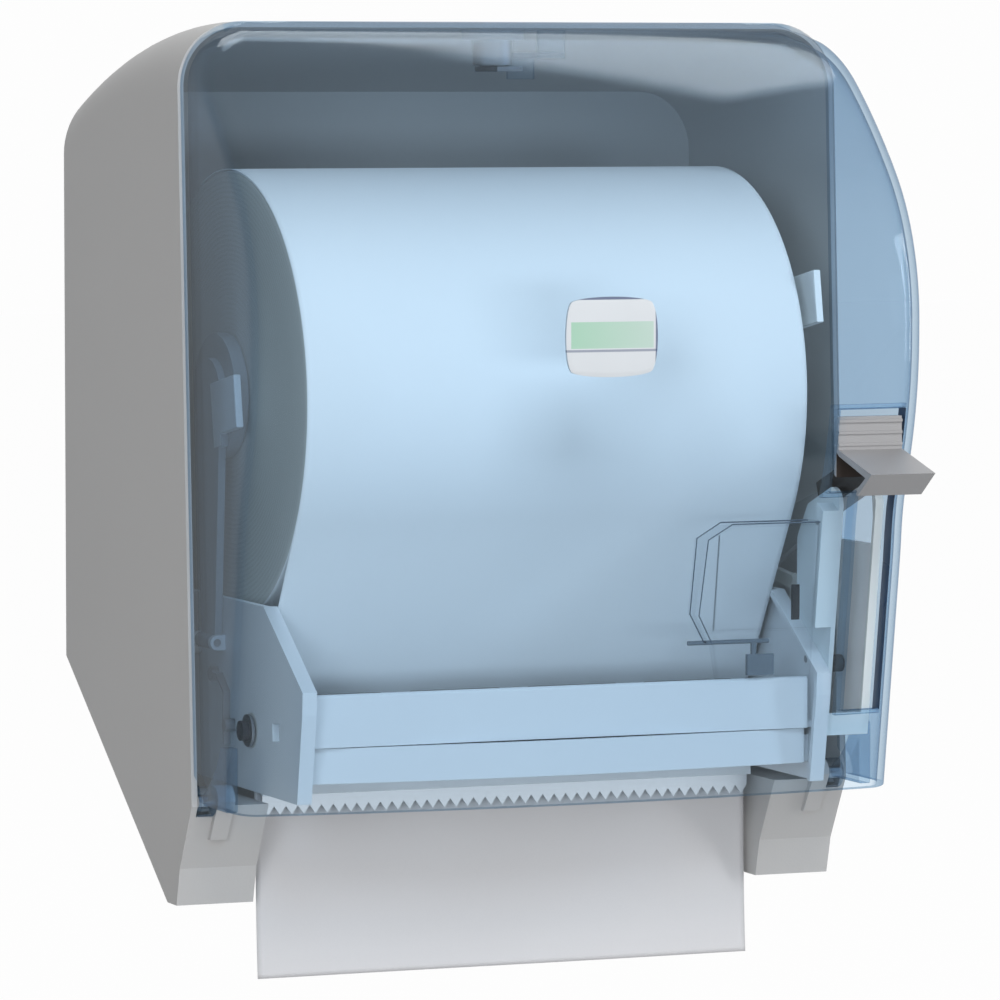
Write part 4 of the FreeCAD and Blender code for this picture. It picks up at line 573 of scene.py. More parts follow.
FINISHES: dict[Finish, Material] = {
    Finish.HOUSING: MouldedPlastic((0.56, 0.56, 0.56), (0.51, 0.51, 0.51), 0.52, 1100.0, 0.10, 0.10),
    Finish.COVER: ClearTint((0.89, 0.95, 0.995), (0.19, 0.33, 0.47), straight=0.02),
    # painted shade: opaque dark navy on the right-hand rim of the lever's window and slot, and on the
    # collar there
    Finish.COVER_EDGE_PAINTED_SHADE: MouldedPlastic((0.012, 0.052, 0.145), (0.018, 0.045, 0.095), 0.3, 300.0, 0.0, 0.0),
    Finish.GUARD_EDGE: MouldedPlastic((0.10, 0.13, 0.17), (0.08, 0.11, 0.15), 0.3, 300.0, 0.0, 0.0),
    # painted shade: near-black inside the lever's pocket and on the arm's side under the paddle
    Finish.HOLLOW_PAINTED_SHADE: MouldedPlastic((0.030, 0.022, 0.018), (0.022, 0.016, 0.013), 0.6, 600.0, 0.1, 0.0),
    Finish.LATCH: MouldedPlastic((0.16, 0.19, 0.22), (0.12, 0.15, 0.18), 0.4, 900.0, 0.05, 0.0),
    # painted shade: the lock's steel is darkened for the shade in the housing's top
    Finish.LOCK_PAINTED_SHADE: WorkedSteel((0.26, 0.27, 0.29), 0.4),
    Finish.GUARD: ClearTint((0.98, 0.985, 0.99), (0.86, 0.88, 0.90), straight=0.004, reach=0.06),
    Finish.BADGE: BadgePrint(),
    Finish.STEEL: WorkedSteel((0.40, 0.41, 0.43), 0.36),
    Finish.BLADE: WorkedSteel((0.80, 0.81, 0.83), 0.45, (40.0, 900.0, 900.0)),
    Finish.CHASSIS: MouldedPlastic((0.78, 0.80, 0.82), (0.72, 0.75, 0.78), 0.42, 800.0, 0.05, 0.05),
    Finish.SHAFT: MouldedPlastic((0.035, 0.035, 0.04), (0.02, 0.02, 0.025), 0.4, 900.0, 0.08, 0.05),
    Finish.RUBBER: MouldedPlastic((0.03, 0.03, 0.033), (0.02, 0.02, 0.022), 0.8, 500.0, 0.3, 0.1),
    Finish.BEARING: MouldedPlastic((0.66, 0.66, 0.64), (0.58, 0.58, 0.56), 0.4, 800.0, 0.05, 0.05),
    Finish.GEAR: MouldedPlastic((0.70, 0.70, 0.67), (0.62, 0.62, 0.59), 0.4, 800.0, 0.05, 0.05),
    Finish.LEVER: MouldedPlastic((0.36, 0.36, 0.37), (0.32, 0.32, 0.33), 0.42, 1000.0, 0.08, 0.10),
    Finish.CASE: MouldedPlastic((0.74, 0.80, 0.82), (0.69, 0.75, 0.77), 0.42, 800.0, 0.06, 0.05),
    Finish.TAB: MouldedPlastic((0.92, 0.94, 0.95), (0.89, 0.91, 0.93), 0.4, 800.0, 0.05, 0.03),
    # painted shade: the roll arms are the tabs' white plastic, coloured dark grey for the shade they lie in
    Finish.ARM_PAINTED_SHADE: MouldedPlastic((0.30, 0.34, 0.37), (0.26, 0.30, 0.33), 0.45, 800.0, 0.05, 0.03),
    # painted light: the case's cover is the case's plastic in a lighter tone, to offset the shade it lies
    # in
    Finish.CASE_LID_PAINTED_LIGHT: MouldedPlastic((0.90, 0.93, 0.95), (0.86, 0.89, 0.92), 0.42, 800.0, 0.06, 0.0),
    # painted shade: the core hubs are coloured dark grey for the shade they lie in
    Finish.HUB_PAINTED_SHADE: MouldedPlastic((0.30, 0.33, 0.35), (0.26, 0.29, 0.31), 0.4, 800.0, 0.05, 0.03),
    Finish.CARD: MouldedPlastic((0.36, 0.26, 0.16), (0.29, 0.20, 0.12), 0.85, 500.0, 0.3, 0.0),
    Finish.TOWEL: CrepePaper((0.90, 0.915, 0.925), (0.86, 0.88, 0.90)),
    # painted shade: the tail is the roll's paper, coloured greyer for the shade under the hood
    Finish.TAIL_PAINTED_SHADE: CrepePaper((0.69, 0.69, 0.705), (0.66, 0.66, 0.68)),
    Finish.ROLL: CrepePaper((0.90, 0.915, 0.925), (0.86, 0.88, 0.90), (104.0, 8.0)),
}
MATERIALS: dict[Finish, bpy.types.Material] = {}


def material_of(finish: Finish) -> bpy.types.Material:
    """The material of a finish, built when it is first asked for.

    Args:
        finish: the finish.

    Returns:
        Its material.
    """
    if finish not in MATERIALS:
        MATERIALS[finish] = FINISHES[finish].build(finish.value)
    return MATERIALS[finish]


# ---- meshes -------------------------------------------------------------------------------------
def grid_faces(rows: int, columns: int, wrap_rows: bool = False, wrap_columns: bool = False) -> np.ndarray:
    """The four corners of every cell of a grid, as vertex numbers.

    Args:
        rows: number of points down the grid.
        columns: number of points across it.
        wrap_rows: whether the last row joins the first.
        wrap_columns: whether the last column joins the first.

    Returns:
        An array of shape (cells, 4).
    """
    i, j = np.meshgrid(np.arange(rows if wrap_rows else rows - 1),
                       np.arange(columns if wrap_columns else columns - 1), indexing="ij")
    i, j = i.ravel(), j.ravel()
    down, across = (i + 1) % rows, (j + 1) % columns
    return np.stack([i * columns + j, i * columns + across, down * columns + across, down * columns + j], 1)


def settled(mesh: bpy.types.Mesh, sharp_deg: float, merge: float, from_cad: bool) -> bpy.types.Mesh:
    """Merge a mesh's doubles and shade it smooth between its sharp edges.

    Args:
        mesh: the mesh.
        sharp_deg: edges bent more than this stay sharp.
        merge: distance in metres within which points become one.
        from_cad: whether its faces already point outwards and its flat ones are joined up.

    Returns:
        The same mesh.
    """
    work = bmesh.new()
    work.from_mesh(mesh)
    bmesh.ops.remove_doubles(work, verts=work.verts, dist=merge)
    bmesh.ops.dissolve_degenerate(work, edges=work.edges, dist=1e-6)
    if from_cad:
        bmesh.ops.dissolve_limit(work, angle_limit=math.radians(0.6), verts=work.verts, edges=work.edges,
                                 delimit={"NORMAL"})
    else:
        bmesh.ops.recalc_face_normals(work, faces=work.faces)
    work.to_mesh(mesh)
    work.free()
    mesh.shade_smooth()
    mesh.set_sharp_from_angle(angle=math.radians(sharp_deg))
    return mesh


def new_mesh(name: str, points: np.ndarray, faces: np.ndarray | Sequence[Sequence[int]],
             sharp_deg: float = 40.0, tints: np.ndarray | None = None) -> bpy.types.Mesh:
    """Make a mesh from points in millimetres, merge its doubles and turn its faces outwards.

    Args:
        name: the mesh's name.
        points: array of shape (count, 3).
        faces: vertex numbers of each face.
        sharp_deg: edges bent more than this stay sharp.
        tints: the material's place of each face, if there is more than one.

    Returns:
        The mesh.
    """
    mesh = bpy.data.meshes.new(name)
    rows = faces.tolist() if isinstance(faces, np.ndarray) else [list(face) for face in faces]
    rows = [list(dict.fromkeys(face)) for face in rows]
    whole = [len(face) > 2 for face in rows]
    mesh.from_pydata((np.asarray(points, float).reshape(-1, 3) * MM).tolist(), [],
                     [face for face, good in zip(rows, whole) if good])
    if tints is not None:
        mesh.polygons.foreach_set("material_index", tints[np.array(whole)])
    return settled(mesh, sharp_deg, 1e-6, False)


def turned_profile(name: str, profile: Sequence[Pair], axis: Pair, segments: int) -> bpy.types.Mesh:
    """Turn a closed profile about an axis along X.

    Each profile point (x, r) becomes a circle of radius r in the plane X = x.

    Args:
        name: the mesh's name.
        profile: points (x, r) in order.
        axis: (t, z) of the axis.
        segments: points round each circle.

    Returns:
        The mesh.
    """
    outline = np.array(profile, float)
    angle = np.linspace(0.0, 2.0 * np.pi, segments, endpoint=False)
    x = np.repeat(outline[:, :1], segments, 1)
    y = -axis[0] + outline[:, 1:] * np.cos(angle)
    z = axis[1] + outline[:, 1:] * np.sin(angle)
    faces = grid_faces(len(outline), segments, True, True)
    return new_mesh(name, np.stack([x, y, z], -1), faces)


def prism(name: str, outline: Sequence[Pair], x0: float, x1: float) -> bpy.types.Mesh:
    """A side outline carried straight along X, with both ends closed.

    Args:
        name: the mesh's name.
        outline: points (t, z) in order.
        x0: X of one end.
        x1: X of the other end.

    Returns:
        The mesh.
    """
    side = np.array(outline, float)
    count = len(side)
    points = np.concatenate([np.column_stack([np.full(count, x), -side[:, 0], side[:, 1]])
                             for x in (x0, x1)])
    walls = grid_faces(2, count, False, True).tolist()
    return new_mesh(name, points, walls + [list(range(count)), list(range(count, 2 * count))])


def thread(name: str, path: Sequence[tuple[float, float, float]], radius: float,
           sides: int = 6) -> bpy.types.Mesh:
    """A thin round thread along a path, with both ends closed.

    Each point of the path carries a ring at right angles to the way the path runs there.

    Args:
        name: the mesh's name.
        path: its points (X, t, z).
        radius: its radius in millimetres.
        sides: faces round it.

    Returns:
        The mesh.
    """
    line = np.array([(x, -t, z) for x, t, z in path], float)
    way = np.gradient(line, axis=0)
    way /= np.linalg.norm(way, axis=1, keepdims=True)
    across = np.cross(way, (0.0, 1.0, 0.0))
    across /= np.linalg.norm(across, axis=1, keepdims=True)
    up = np.cross(way, across)
    angle = np.arange(sides) * 2.0 * math.pi / sides
    rings = line[:, None] + radius * (np.cos(angle)[None, :, None] * across[:, None]
                                      + np.sin(angle)[None, :, None] * up[:, None])
    count = len(line)
    ends = [list(range(sides)), list(range((count - 1) * sides, count * sides))]
    return new_mesh(name, rings, grid_faces(count, sides, False, True).tolist() + ends)


def arc_points(start: Pair, middle: Pair, end: Pair, count: int) -> np.ndarray:
    """Points on the circle through three points, from the first to the last.

    The centre is where the bisectors of the two chords meet; the points are then spread evenly
    in angle.

    Args:
        start: first point.
        middle: a point between the others.
        end: last point.
        count: how many points.

    Returns:
        An array of shape (count, 2).
    """
    a, b, c = (np.array(p, float) for p in (start, middle, end))
    lines = 2.0 * np.array([b - a, c - a])
    centre = np.linalg.solve(lines, [b @ b - a @ a, c @ c - a @ a])
    first, via, last = (math.atan2(*(p - centre)[::-1]) for p in (a, b, c))
    ccw = (via - first) % (2 * math.pi) < (last - first) % (2 * math.pi)
    sweep = (last - first) % (2 * math.pi) if ccw else -((first - last) % (2 * math.pi))
    angle = first + sweep * np.linspace(0.0, 1.0, count)
    return centre + np.linalg.norm(a - centre) * np.column_stack([np.cos(angle), np.sin(angle)])


def eased(value: np.ndarray) -> np.ndarray:
    """Smooth step of a value held between 0 and 1."""
    held = np.clip(value, 0.0, 1.0)
    return held * held * (3.0 - 2.0 * held)


def put(name: str, mesh: bpy.types.Mesh, body: str, finish: Finish, nodes: Iterable[str] = (),
        bevel: float = 0.0, edge: Finish | None = None) -> bpy.types.Object:
    """Place a finished piece: link it, dress it, let it ride on its body and stand for nodes.

    Args:
        name: the piece's name.
        mesh: its mesh, in place.
        body: the body it moves with, or nothing for a piece that rides on no body.
        finish: its finish.
        nodes: the CAD nodes it stands for.
        bevel: width of a small rounding on its edges, or 0.
        edge: a second finish, for the faces that the mesh marks.

    Returns:
        The object.
    """
    piece = bpy.data.objects.new(name, mesh)
    bpy.context.scene.collection.objects.link(piece)
    places = np.zeros(len(mesh.polygons), np.int32)
    mesh.polygons.foreach_get("material_index", places)
    mesh.materials.clear()
    mesh.materials.append(material_of(finish))
    if edge is not None:
        mesh.materials.append(material_of(edge))
        mesh.polygons.foreach_set("material_index", places)
    if bevel > 0.0:
        rounding = piece.modifiers.new("rounding", "BEVEL")
        rounding.width = bevel * MM
        rounding.segments = 2
        rounding.limit_method = "ANGLE"
        rounding.angle_limit = math.radians(38.0)
        rounding.harden_normals = True
    if body:
        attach(piece, body)
    for node in nodes:
        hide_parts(node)
    LOG.info("%s: %d faces, on %s", name, len(mesh.polygons), body)
    return piece


def clean_copy(node: str) -> bpy.types.Mesh:
    """A merged copy of a CAD node's mesh, with its flat faces joined up again.

    Args:
        node: the node's name.

    Returns:
        The mesh.
    """
    mesh = frame["nodes"][node].data.copy()
    mesh.name = node + "_form"
    return settled(mesh, 32.0, 2e-6, True)


def body_of_node(node: str) -> str:
    """The name of the body that a CAD node belongs to."""
    return frame["nodes"][node]["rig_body"]


def dress(finish: Finish, bevel: float, *nodes: str) -> None:
    """Show CAD nodes as clean copies with a finish and slightly rounded edges."""
    for node in nodes:
        put(node + "_shown", clean_copy(node), body_of_node(node), finish, [node], bevel)


def thicken(sheet: bpy.types.Object, thickness: float) -> None:
    """Give a sheet its thickness, to both sides alike.

    Args:
        sheet: the sheet.
        thickness: in millimetres.
    """
    body = sheet.modifiers.new("thickness", "SOLIDIFY")
    body.thickness = thickness * MM
    body.offset = 0.0


# ---- sub-assemblies -----------------------------------------------------------------------------
@dataclass
class Housing:
    """The moulded back, its hinge pins and the lock."""

    moulded_bevel: float = 0.7
    metal_bevel: float = 0.25

    def build(self) -> None:
        """Build the housing's pieces."""
        dress(Finish.HOUSING, self.moulded_bevel, "rear_housing")
        dress(Finish.STEEL, self.metal_bevel, "hinge_pin_left", "hinge_pin_right")
        # painted shade: the lock takes a darkened copy of the steel
        dress(Finish.LOCK_PAINTED_SHADE, self.metal_bevel, "lock_barrel", "lock_plug", "lock_cam")


@dataclass
class Cover:
    """The clear cover: a crowned shell with rounded rims, the lever's slot, knuckles and strike.

    Attributes:
        half: half its width.
        wall: its wall.
        top: height of its flat top.
        bottom: height of its foot.
        crown: how far its middle stands in front of its sides.
        side_t: depth of its front at the sides, where it bulges most.
        rim_r: radius of the fillets along its sides.
        corner_r: radius of its top corners, seen from the front.
        head_bevel: reach of the fillet between its top and its front.
        shoulder: (t, z) where the top's arc ends, at the sides.
        bulge_z: height where the front bulges most.
        waist: (t, z) where the front is drawn in, at the sides.
        foot_t: depth of the foot, at the sides.
        dip_step: from the waist to the end of the bulge's lower arc.
        vias: from the shoulder, the middle of the brow, the bulge and the waist to a point that
            the arc there passes through.
        row_step: distance between rows of its mesh.
        foot_run: length of the closer rows at the foot.
        ease_run: depth over which the fillets along the sides grow in behind the top.
        corner_soft: reach of the soft join between the top corners and the front.
        hinge: (t, z) of the hinge's axis.
        hinge_room: radius that the side walls leave free about the hinge.
        knuckle: inner and outer X, bore and radius of a hinge knuckle.
        collar_depth: how far the slot's collar stands back from the outer face.
        collar_wall: thickness of the collar.
        window: X from and to, Z from and to of the lever's window.
        slot: X from and to of the slot under it, and Z of its foot.
        web_bevel: rounding on the knuckles' webs.
        strike_bevel: rounding on the strike.
        path: points (t, z) of the side outline in the middle plane.
    """

    half: float = 140.0
    wall: float = 3.0
    top: float = 156.5
    bottom: float = -149.0
    crown: float = 11.0
    side_t: float = 234.0
    rim_r: float = 10.5
    corner_r: float = 26.0
    head_bevel: float = 6.2
    shoulder: Pair = (212.0, 99.0)
    bulge_z: float = 36.0
    waist: Pair = (218.3, -52.0)
    foot_t: float = 203.5
    dip_step: Pair = (5.2, 27.0)
    vias: tuple[Pair, ...] = ((-31.0, 31.0), (-5.4, 2.5), (-2.4, -31.0), (1.7, 14.0))
    row_step: float = 3.0
    foot_run: float = 14.0
    ease_run: float = 22.0
    corner_soft: float = 9.0
    hinge: Pair = (156.0, -148.0)
    hinge_room: float = 10.0
    knuckle: tuple[float, float, float, float] = (131.9, 138.1, 2.6, 6.0)
    collar_depth: float = 6.6
    collar_wall: float = 1.8
    window: tuple[float, float, float, float] = (100.9, 131.1, -29.0, 4.5)
    slot: tuple[float, float, float] = (114.0, 131.1, -117.0)
    web_bevel: float = 0.5
    strike_bevel: float = 0.4
    path: np.ndarray = field(init=False)

    def __post_init__(self) -> None:
        """Work out the side outline in the middle plane, from the top edge to the foot.

        It is a chain of arcs, sampled closely and then smoothed with a running mean so that the
        curvature has no jumps.
        """
        shift = self.crown
        shoulder, bulge = (self.shoulder[0] + shift, self.shoulder[1]), (self.side_t + shift, self.bulge_z)
        waist = (self.waist[0] + shift, self.waist[1])
        dip = (waist[0] + self.dip_step[0], waist[1] + self.dip_step[1])
        brow = (bulge[0], (bulge[1] + shoulder[1]) / 2.0)
        via = [(t + dt, z + dz) for (t, z), (dt, dz) in zip((shoulder, brow, bulge, waist), self.vias)]
        head = (self.join_t(self.top) + shift + 2.0, self.top)
        foot = (self.foot_t + shift, self.bottom)
        runs = [np.linspace((self.join_t(self.top) + 0.5, self.top), head, 60),
                arc_points(head, via[0], shoulder, 300), arc_points(shoulder, via[1], bulge, 200),
                arc_points(bulge, via[2], dip, 180), arc_points(dip, via[3], waist, 90),
                np.linspace(waist, foot, 260)]
        line = np.concatenate([runs[0]] + [run[1:] for run in runs[1:]])
        line = line[np.linalg.norm(line - head, axis=1) > self.head_bevel]
        along = np.concatenate([[0.0], np.cumsum(np.linalg.norm(np.diff(line, axis=0), axis=1))])
        even = np.arange(0.0, along[-1], 0.5)
        even = np.append(even, along[-1])
        fine = np.column_stack([np.interp(even, along, line[:, k]) for k in (0, 1)])
        reach = 14
        weights = np.hanning(2 * reach + 1)
        weights /= weights.sum()
        held = np.concatenate([2 * fine[:1] - fine[reach:0:-1], fine,
                               2 * fine[-1:] - fine[-2:-reach - 2:-1]])
        self.path = np.column_stack([np.convolve(held[:, k], weights, "valid") for k in (0, 1)])

    @staticmethod
    def join_t(z: float | np.ndarray) -> float | np.ndarray:
        """Depth of the join with the housing at a height."""
        return 150.0 - 0.05 * z

    def crowned(self, t: np.ndarray, x: np.ndarray) -> np.ndarray:
        """Crown a depth that is given for the middle plane.

        The point moves on a circle about a far upright axis, whose radius gives the crown over
        half the width.

        Args:
            t: depth in the middle plane.
            x: distance from the middle plane.

        Returns:
            The depth there.
        """
        radius = (self.half ** 2 + self.crown ** 2) / (2.0 * self.crown)
        axis_t = self.side_t + self.crown - radius
        return axis_t + np.sqrt((t - axis_t) ** 2 - x ** 2)

    def front_t(self, x: np.ndarray, z: np.ndarray) -> np.ndarray:
        """Depth of the cover's outer face, below the shoulder.

        Args:
            x: distance from the middle plane.
            z: height.

        Returns:
            The depth there, less the fall of the fillet near the sides.
        """
        front = self.path[self.path[:, 1] < self.shoulder[1]][::-1]
        middle = np.interp(z, front[:, 1], front[:, 0])
        over = np.clip(np.abs(x) - (self.half - self.rim_r), 0.0, self.rim_r * 0.98)
        drop = self.rim_r - np.sqrt(self.rim_r ** 2 - over ** 2)
        return self.crowned(middle, x) - drop

    def rows(self) -> tuple[np.ndarray, np.ndarray, int, int]:
        """Points down the side outline, with rows on the edges of the slot, and their normals.

        Returns:
            Points, outward normals, the row where the flat top ends, and the row at the height
            where the top corners end.
        """
        line = self.path
        along = np.concatenate([[0.0], np.cumsum(np.linalg.norm(np.diff(line, axis=0), axis=1))])
        falling = line[:, 1] < self.top - 0.5
        marks = [float(np.interp(-z, -line[falling, 1], along[falling]))
                 for z in (self.top - self.corner_r, self.window[3], self.window[2], self.slot[2])]
        head = float(along[falling][0])
        keep = [s for s in np.arange(0.0, along[-1] - self.foot_run, self.row_step)
                if min(abs(s - m) for m in marks + [head]) > 1.3]
        foot = list(np.linspace(along[-1] - self.foot_run + 1.0, along[-1], 14))
        stops = np.array(sorted(set(keep + marks + foot + [head])))
        points = np.column_stack([np.interp(stops, along, line[:, k]) for k in (0, 1)])
        tangent = np.column_stack([np.gradient(line[:, k], along) for k in (0, 1)])
        slope = np.column_stack([np.interp(stops, along, tangent[:, k]) for k in (0, 1)])
        slope /= np.linalg.norm(slope, axis=1, keepdims=True)
        normal = np.column_stack([-slope[:, 1], slope[:, 0]])
        return points, normal, int(np.argmin(abs(stops - head))), int(np.argmin(abs(stops - marks[0])))

    def columns(self, inset: float) -> tuple[np.ndarray, np.ndarray]:
        """Places across the cover's right half, from the middle to the side face.

        Args:
            inset: 0 for the outer face, or the wall for the inner one.

        Returns:
            X of each column, and how far it stands back from the crowned front.
        """
        flat_half = self.half - self.rim_r
        marks = (self.window[0], self.slot[0])
        flat = [x for x in np.linspace(0.0, flat_half, 34)[:-1] if min(abs(x - m) for m in marks) > 1.2]
        flat = np.array(sorted([*flat, *marks]))
        radius = self.rim_r - inset
        first = math.asin((self.window[1] - flat_half) / radius)
        turn = np.concatenate([[first], np.linspace(first, math.pi / 2.0, 11)[1:]])
        x = np.concatenate([flat, flat_half + radius * np.sin(turn)])
        back = np.concatenate([np.zeros_like(flat), radius * (1.0 - np.cos(turn))]) + inset
        return x, back

    def skin(self, inset: float) -> tuple[np.ndarray, np.ndarray, int]:
        """One face of the cover, as a grid for the top and one for the front with its sides.

        Each point starts on the middle outline, moves back along the outline's normal by the
        column's setback, and is crowned. Its height is then held under the corner's quarter
        circle, z = top - r + sqrt(r r - (x - half + r) (x - half + r)), through a smooth minimum.
        From the height where the corners end, the rows run on straight back along the side wall
        to the join, at places that carry on from the rim of the top.

        Args:
            inset: 0 for the outer face, or the wall for the inner one.

        Returns:
            Points of the top grid, points of the front grid, and the row of the join of both.
        """
        line, normal, head, corner = self.rows()
        x, back = self.columns(inset)
        across = np.broadcast_to(x, (len(line), len(x)))
        below = np.arange(len(line)) > head
        reach = np.where(below, eased((line[:, 0] - line[head, 0]) / self.ease_run), 0.0)
        t = self.crowned(line[:, :1] + 0.0 * across, across) - back * normal[:, :1] * reach[:, None]
        front_z = line[:, 1:] - back * normal[:, 1:]
        middle, radius = self.half - self.corner_r, self.corner_r - inset
        over = np.clip(across - middle, 0.0, radius)
        cap_z = self.top - self.corner_r + np.sqrt(radius ** 2 - over ** 2)
        soft = np.where(below[:, None], self.corner_soft, 0.02) * eased(over / self.corner_soft) + 1e-6
        share = np.clip(0.5 + 0.5 * (cap_z - front_z) / soft, 0.0, 1.0)
        z = cap_z * (1.0 - share) + front_z * share - soft * share * (1.0 - share)
        rear = self.join_t(z) + 0.5
        grow = np.clip((line[:, 0] - line[0, 0]) / (line[head, 0] - line[0, 0]), 0.0, 1.0)[:, None]
        t = np.where(grow < 1.0, rear + grow * (np.maximum(t[head], rear[head] + 0.2) - rear), t)
        t = np.maximum(t, rear + 0.15 * np.maximum(np.arange(len(line)) - head, 0)[:, None])
        t = np.where(np.arange(len(line))[:, None] == 0, rear, t)
        rim_t, rim_z = t[:corner + 1, -1], z[:corner + 1, -1]
        places = ((rim_t - rim_t[0]) / (rim_t[-1] - rim_t[0]))[-2::-1]
        low_t, low_z = t[corner:, -1:], z[corner:, -1:]
        away = np.clip(self.hinge_room ** 2 - (low_z - self.hinge[1]) ** 2, 0.0, None)
        room = np.where(away > 0.0, self.hinge[0] + np.sqrt(away), 0.0)
        join = np.maximum(self.join_t(low_z) + 0.5, room)
        side_t = join + places * (low_t - join)
        side_z = low_z + 0.0 * side_t
        side_t[0], side_z[0] = rim_t[-2::-1], rim_z[-2::-1]
        side_x = np.full_like(side_t, x[-1])
        top = np.stack([across[:corner + 1], -t[:corner + 1], z[:corner + 1]], -1)
        front = np.concatenate([np.stack([across[corner:], -t[corner:], z[corner:]], -1),
                                np.stack([side_x, -side_t, side_z], -1)], 1)
        turned = np.array([-1.0, 1.0, 1.0])
        return (np.concatenate([top[:, :0:-1] * turned, top], 1),
                np.concatenate([front[:, :0:-1] * turned, front], 1), corner)

    def shell(self) -> bpy.types.Mesh:
        """The cover's wall as one closed mesh, with the lever's window and slot left open.

        Both faces are laid out alike, so the rims are bands between the same edges of each. The
        right-hand rim of the window and slot gets the second material, an opaque dark navy painted shade.

        Returns:
            The mesh.
        """
        outer_top, outer_front, corner = self.skin(0.0)
        inner_top, inner_front, _ = self.skin(self.wall)
        split = outer_top.shape[0] * outer_top.shape[1]
        outer = np.concatenate([outer_top.reshape(-1, 3), outer_front.reshape(-1, 3)])
        inner = np.concatenate([inner_top.reshape(-1, 3), inner_front.reshape(-1, 3)])
        line, _, _, _ = self.rows()
        heights = line[corner:, 1]
        rows, columns = outer_front.shape[:2]
        front = grid_faces(rows, columns)
        mid_z = (heights[front[:, 0] // columns] + heights[front[:, 3] // columns]) / 2.0
        middle = outer_front.reshape(-1, 3)[front].mean(1)
        x0, x1, z0, z1 = self.window
        s0, s1, s2 = self.slot
        in_window = (middle[:, 0] > x0) & (middle[:, 0] < x1) & (mid_z > z0) & (mid_z < z1)
        in_slot = (middle[:, 0] > s0) & (middle[:, 0] < s1) & (mid_z > s2) & (mid_z < z0 + 1.0)
        kept = front[~((in_window | in_slot) & (middle[:, 1] < -190.0))]
        faces = np.concatenate([grid_faces(*outer_top.shape[:2]), kept + split])
        _, first, index = np.unique(np.round(outer, 4), axis=0, return_index=True, return_inverse=True)
        faces = first[index.reshape(-1)][faces]
        edges = np.stack([faces, np.roll(faces, -1, 1)], -1).reshape(-1, 2)
        edges = edges[edges[:, 0] != edges[:, 1]]
        _, where, count = np.unique(np.sort(edges, 1), axis=0, return_index=True, return_counts=True)
        loose = edges[where[count == 1]]
        total = len(outer)
        bands = np.stack([loose[:, 0], loose[:, 1], loose[:, 1] + total, loose[:, 0] + total], 1)
        places = outer[loose].mean(1)
        # painted shade: the right-hand rim of the window and slot, beside the lever, gets the dark second
        # material
        painted_shade_rim = ((abs(places[:, 0] - x1) < 0.5) & (places[:, 1] < -185.0)
                & (places[:, 2] > s2 - 1.0) & (places[:, 2] < z1 + 1.0))
        whole = np.concatenate([faces, faces[:, ::-1] + total, bands])
        tints = np.concatenate([np.zeros(2 * len(faces), np.int32), painted_shade_rim.astype(np.int32)])
        return new_mesh("cover_shell", np.concatenate([outer, inner]), whole, 50.0, tints)

    def slot_loop(self, grow: float, depth: float, per_edge: int = 12) -> np.ndarray:
        """A loop round the window and slot.

        Args:
            grow: how far it stands outside their edges.
            depth: how far it lies behind the cover's outer face.
            per_edge: points along each of its six edges.

        Returns:
            Its points.
        """
        x0, x1, z0, z1 = self.window
        s0, s1, s2 = self.slot
        corners = np.array([(x0 - grow, z1 + grow), (x1 + grow, z1 + grow), (s1 + grow, s2 - grow),
                            (s0 - grow, s2 - grow), (s0 - grow, z0 - grow), (x0 - grow, z0 - grow)])
        share = np.linspace(0.0, 1.0, per_edge, endpoint=False)[None, :, None]
        line = (corners[:, None] * (1.0 - share) + np.roll(corners, -1, 0)[:, None] * share).reshape(-1, 2)
        t = self.front_t(line[:, 0], line[:, 1]) - depth
        return np.column_stack([line[:, 0], -t, line[:, 1]])

    def collar(self) -> bpy.types.Mesh:
        """The raised collar behind the edge of the window and slot: four loops joined in a ring.

        Returns:
            The mesh, with painted shade on its right-hand inner face.
        """
        deep, thick = self.collar_depth, self.collar_wall
        loops = [self.slot_loop(0.02, 2.9), self.slot_loop(0.02, deep), self.slot_loop(thick, deep),
                 self.slot_loop(thick, 3.1)]
        count = len(loops[0])
        tints = np.zeros(4 * count, np.int32)
        # painted shade: the collar's right-hand inner face gets the dark second material
        tints[:count] = loops[0][:, 0] > self.window[1] - 0.5
        return new_mesh("cover_slot_collar", np.concatenate(loops), grid_faces(4, count, True, True), 30.0,
                        tints)

    def build(self) -> None:
        """Build the cover's pieces."""
        put("cover_shell", self.shell(), "cover", Finish.COVER, ["front_cover"], edge=Finish.COVER_EDGE_PAINTED_SHADE)
        put("cover_slot_collar", self.collar(), "cover", Finish.COVER, edge=Finish.COVER_EDGE_PAINTED_SHADE)
        for side in (-1, 1):
            self.hinge_knuckle(side)
        dress(Finish.COVER, self.strike_bevel, "cover_strike")

    def hinge_knuckle(self, side: int) -> None:
        """One hinge knuckle and its web on the side wall.

        Args:
            side: 1 for the right, -1 for the left.
        """
        inner, outer, bore, radius = self.knuckle
        x0, x1 = sorted((inner * side, outer * side))
        t, z = self.hinge
        label = "right" if side > 0 else "left"
        ring = [(x0, bore), (x1, bore), (x1, radius - 0.4), (x1 - 0.4, radius), (x0 + 0.4, radius),
                (x0, radius - 0.4)]
        eye = turned_profile("cover_knuckle_" + label, ring, self.hinge, 40)
        put("cover_knuckle_" + label, eye, "cover", Finish.COVER)
        curve = arc_points((t + 5.2, z + 3.2), (t + 15.0, z + 9.5), (t + 26.0, z + 24.0), 12)
        outline = [*map(tuple, curve), (t + 33.0, z + 24.0), (t + 33.0, z - 1.0), (t + 6.0, z - 1.0)]
        web = prism("cover_web_" + label, outline, min(x0, x1) + 0.3, max(x0, x1) - 1.0)
        put("cover_web_" + label, web, "cover", Finish.COVER, bevel=self.web_bevel)


